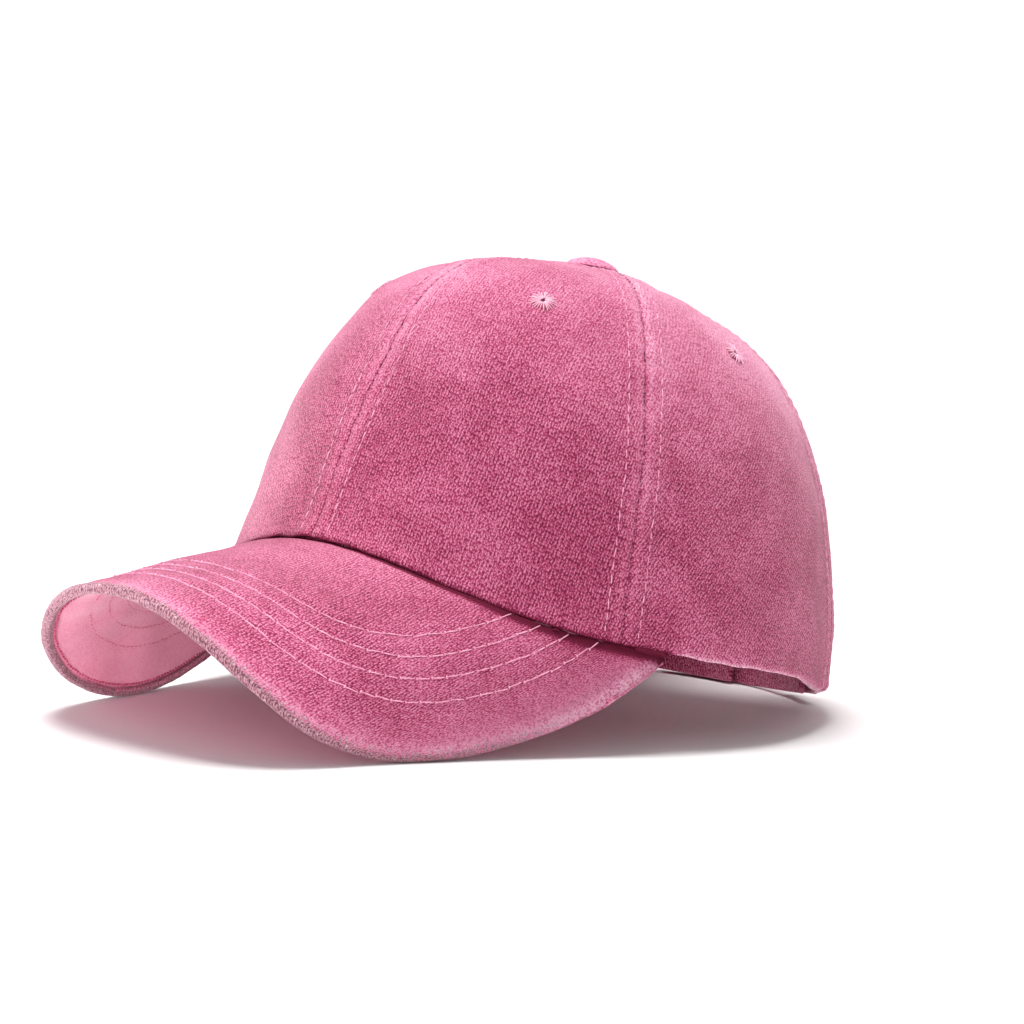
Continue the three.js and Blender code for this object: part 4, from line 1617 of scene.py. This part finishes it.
        def inner_depth(distance: np.ndarray) -> np.ndarray:
            """The inner tab steps in behind the outer one."""
            start = -(self.crown.opening_half_width - self.tape_width / 2)
            step_end = -(self.overlap_left + self.gap * 4)
            return outer + (inner - outer) * smooth_step(start, step_end, distance)

        top, margin, wall = self.strap_height, self.pad_margin, self.strap_wall
        span = (self.anchor, -self.overlap_left)
        rise = (-self.strap_drop, top)
        self.tab("closure_outer_tab", span, rise, level(outer), wall, twill, Slot.CROWN, "strap_left")
        span = (self.overlap_right, -self.anchor)
        rise = (0.0, top)
        self.tab("closure_inner_tab", span, rise, inner_depth, wall, twill, Slot.CROWN, "strap_right")
        span = (self.overlap_right - margin, -self.overlap_left + margin)
        rise = (margin, top - margin)
        self.tab(
            "closure_pad", span, rise, level(pad), self.pad_wall, self.hooks, Slot.HOOKS, "strap_fastener"
        )

    def row(
        self,
        angle: np.ndarray,
        place: np.ndarray,
        depth: float,
        seed: int,
        sign: int = 1,
        pitch: float = 3.2 * MM,
    ) -> tuple[np.ndarray, np.ndarray, np.ndarray]:
        """Sews one row along a line on the crown.

        Args:
            angle: The line's angles.
            place: Its places up the crown.
            depth: Its depth under the crown's surface.
            seed: Which unevenness.
            sign: 1 on the outside, -1 on the inside.
            pitch: The length of a stitch with its gap.

        Returns:
            The starts, the ends and the normals of its stitches.
        """
        points = self.form.point(angle, place, depth + 0 * place)
        return StitchRow(points, self.form.normal(angle, place) * sign, pitch, seed=seed).cut()

    def stitching(self) -> None:
        """Sews the tape, the band and the tabs."""
        rows = []
        angle, place = self.opening_line(np.linspace(2, 178, 300), self.gap + 0.72 * self.tape_width)
        for through, sign in ((0.0, 1), (1.0, -1)):
            depth = through * self.tape_thickness - self.tape_proud
            rows.append(self.row(angle, place, depth, 99, sign))
        end = float(self.back_angle(self.anchor + self.gap)) - 0.6
        angle = np.linspace(end, -end, 700)
        place = self.form.place_at(self.band_height - self.band_row) + 0 * angle
        depth = self.form.wall + self.gap + self.band_wall + 0.1 * MM
        rows.append(self.row(angle, place, depth, 101, -1, 3.4 * MM))
        depth = self.outer_depth - 0.05 * MM
        edge = -self.overlap_left + self.tab_row
        low, high = self.tab_foot_row, self.strap_height - self.tab_row
        for height in (low, high):
            distance = np.linspace(self.crown.opening_half_width - 5 * MM, edge, 200)
            angle = self.back_angle(distance)
            rows.append(self.row(angle, self.form.place_at(height) + 0 * angle, depth, 103))
        place = self.form.place_at(np.linspace(low, high, 60))
        rows.append(self.row(self.back_angle(edge) + 0 * place, place, depth, 104))
        piece = Sewing(0.46 * MM).lay("fittings_stitching", *joined(rows), arch=0.22 * MM)
        Workbench.finish(piece, self.thread, Slot.THREAD)

    def build(self) -> None:
        """Builds the band, the tape and the closure."""
        self.sweatband()
        self.tape()
        self.closure()
        self.stitching()


# Room


@dataclass(frozen=True)
class Room:
    """A plain pale sweep of floor and wall under soft studio light."""

    colour: str = "#f6f5f5"
    grain_colour: str = "#f2f1f1"
    sky: float = 0.42
    half_width: float = 6.0
    depth_behind: float = 3.2
    depth_ahead: float = 2.5
    bend: float = 1.4
    wall_height: float = 3.5

    def floor(self) -> None:
        """Pulls a flat plane up into a wall behind the cap, square to the camera."""
        Workbench.clear()
        bpy.ops.mesh.primitive_grid_add(x_subdivisions=2, y_subdivisions=60, size=1)
        sweep = bpy.context.object
        sweep.name = sweep.data.name = "sweep"
        run = self.depth_ahead + self.depth_behind
        total = run + self.bend * math.pi / 2 + self.wall_height
        for vertex in sweep.data.vertices:
            along = (vertex.co.y + 0.5) * total
            turn = min(max((along - run) / self.bend, 0), math.pi / 2)
            rise = max(along - run - self.bend * math.pi / 2, 0)
            vertex.co.x *= 2 * self.half_width
            vertex.co.y = min(along, run) - self.depth_ahead + self.bend * math.sin(turn)
            vertex.co.z = self.bend * (1 - math.cos(turn)) + rise
        sweep.data.transform(Matrix.Rotation(math.radians(PhotoCamera().azimuth_deg), 4, "Z"))
        bpy.ops.object.shade_smooth()
        s = Shader("matt backdrop paper")
        grain = s.noise(Vector=s.add("ShaderNodeTexCoord").outputs["Object"], Scale=900.0)
        paper = s.blend(grain, linear(self.grain_colour), linear(self.colour))
        s.set(Base_Color=paper, Roughness=0.95, Specular_IOR_Level=0.05)
        sweep.data.materials.append(s.material)

    @staticmethod
    def hang(data: bpy.types.Light, place: Point, towards: Point) -> None:
        """Puts a light in its place and turns it towards a point."""
        lamp = bpy.data.objects.new(data.name, data)
        bpy.context.scene.collection.objects.link(lamp)
        lamp.location = place
        lamp.rotation_mode = "QUATERNION"
        lamp.rotation_quaternion = (Vector(towards) - Vector(place)).to_track_quat("-Z", "Y")

    def lamp(
        self, name: str, place: Point, size: float, power: float, towards: Point = (0, 0, 0.06)
    ) -> None:
        """Hangs one square soft lamp.

        Args:
            name: The lamp's name.
            place: Where it hangs.
            size: The length of its sides.
            power: Its power in watts.
            towards: What it faces.
        """
        data = bpy.data.lights.new(name, "AREA")
        data.shape, data.size, data.energy = "SQUARE", size, power
        self.hang(data, place, towards)

    def snoot(
        self, name: str, place: Point, towards: Point, angle_deg: float, power: float
    ) -> None:
        """Stands a small lamp with a narrow soft beam, as a reflector card would light a hollow.

        Args:
            name: The lamp's name.
            place: Where it stands.
            towards: What it faces.
            angle_deg: The whole angle of its beam.
            power: Its power in watts.
        """
        data = bpy.data.lights.new(name, "SPOT")
        data.spot_size, data.spot_blend = math.radians(angle_deg), 1.0
        data.shadow_soft_size, data.energy = 0.05, power
        self.hang(data, place, towards)

    def light(self) -> None:
        """Lights the room from the upper left of the picture, with a soft fill."""
        world = bpy.context.scene.world or bpy.data.worlds.new("room")
        bpy.context.scene.world = world
        world.use_nodes = True
        background = world.node_tree.nodes["Background"]
        background.inputs[0].default_value = linear("#ffffff")
        background.inputs[1].default_value = self.sky
        self.lamp("key", (-0.25, -0.1, 1.75), 0.9, 39.0)
        self.lamp("side", (-1.5, -0.7, 0.6), 0.8, 3.0)
        self.lamp("front", (0.95, -1.0, 0.22), 0.7, 3.4)
        self.snoot("under the visor", (0.36, -0.62, 0.035), (-0.075, -0.085, 0.028), 17.0, 18.0)
        self.lamp("backdrop", (-1.2, 1.2, 2.6), 2.0, 90.0, towards=(-2.4, 3.2, 1.0))
        bpy.context.scene.view_settings.view_transform = "Standard"


@dataclass(frozen=True)
class PhotoCamera:
    """The camera of the photograph, round the cap at the tip that it has there."""

    azimuth_deg: float = 41.578
    elevation_deg: float = 7.536
    distance: float = 0.7878
    target: Point = (0.0, 0.0, 0.060)
    photo_tip_deg: float = 17.511
    lens: float = 91.41
    shift: tuple[float, float] = (-0.01455, -0.0721)

    def build(self) -> None:
        """Sets the camera up round the cap as it stands."""
        azimuth, elevation = math.radians(self.azimuth_deg), math.radians(self.elevation_deg)
        back = Vector(
            (
                math.sin(azimuth) * math.cos(elevation),
                -math.cos(azimuth) * math.cos(elevation),
                math.sin(elevation),
            )
        )
        right = Vector((math.cos(azimuth), math.sin(azimuth), 0))
        up = back.cross(right)
        held = Matrix((right, up, back)).transposed().to_4x4()
        held.translation = Vector(self.target) + back * self.distance
        level = Matrix.Rotation(math.radians(self.photo_tip_deg), 4, "X")
        data = bpy.data.cameras.new("photo camera")
        data.lens, data.sensor_width = self.lens, 36
        data.shift_x, data.shift_y = self.shift
        data.clip_start, data.clip_end = 0.01, 50
        camera = bpy.data.objects.new("photo camera", data)
        bpy.context.scene.collection.objects.link(camera)
        camera.matrix_world = Workbench.stance.matrix() @ level @ held
        bpy.context.scene.camera = camera


def main() -> None:
    """Builds the camera, the room and the cap, piece by piece."""
    logging.basicConfig(level=logging.INFO, format="%(message)s")
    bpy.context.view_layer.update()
    PhotoCamera().build()
    room = Room()
    room.floor()
    room.light()

    twill = WashedTwill(
        "pigment-washed cotton twill", "#6d1638", "#b23e68", "#e08cad", "#f4c8d8"
    ).build()
    button_twill = WashedTwill(
        "fine washed twill of the button", "#9a3a62", "#d0628c", "#e79ab8", "#f4c8d8",
        rib_share=0.12, fleck_share=0.4, bump_mm=0.05,
    ).build()
    under = WashedTwill(
        "brushed salmon cotton twill", "#e88aa8", "#f8a9c2", "#fbbdd2", "#fccad8",
        rib_share=0.12, fleck_share=0.45, bump_mm=0.05,
    ).build()
    band = WashedTwill(
        "cotton sweatband drill", "#96233a", "#c8455c", "#df7186", "#e79dab",
        rib_share=0.2, fleck_share=0.35,
    ).build()
    thread = SpunThread().build()
    edge_thread = SpunThread("dark spun polyester thread", "#94284a", "#c05476").build()
    eyelet_thread = SpunThread("pale pink embroidery thread", "#ef9fc0", "#ffd2e2").build()
    under_thread = SpunThread("salmon spun polyester thread", "#c85f7c", "#e38ba2").build()
    hole_dark = SpunThread("needle hole shadow", "#2a0a15", "#521a2c").build()
    hooks = SpunThread("woven nylon hook-and-loop", "#9c3a5b", "#c76487").build()

    # The eyelet beds take the dark edge thread, which shows between the satin strands as painted shade.
    crown = Crown(twill, thread, edge_thread, hole_dark, button_twill, eyelet_thread)
    crown.build()
    LOG.info("crown done")
    Visor(twill, under, thread, edge_thread, under_thread).build()
    LOG.info("visor done")
    Fittings(crown, band, thread, hooks).build()
    LOG.info("fittings done")


if __name__ == "__main__":
    main()
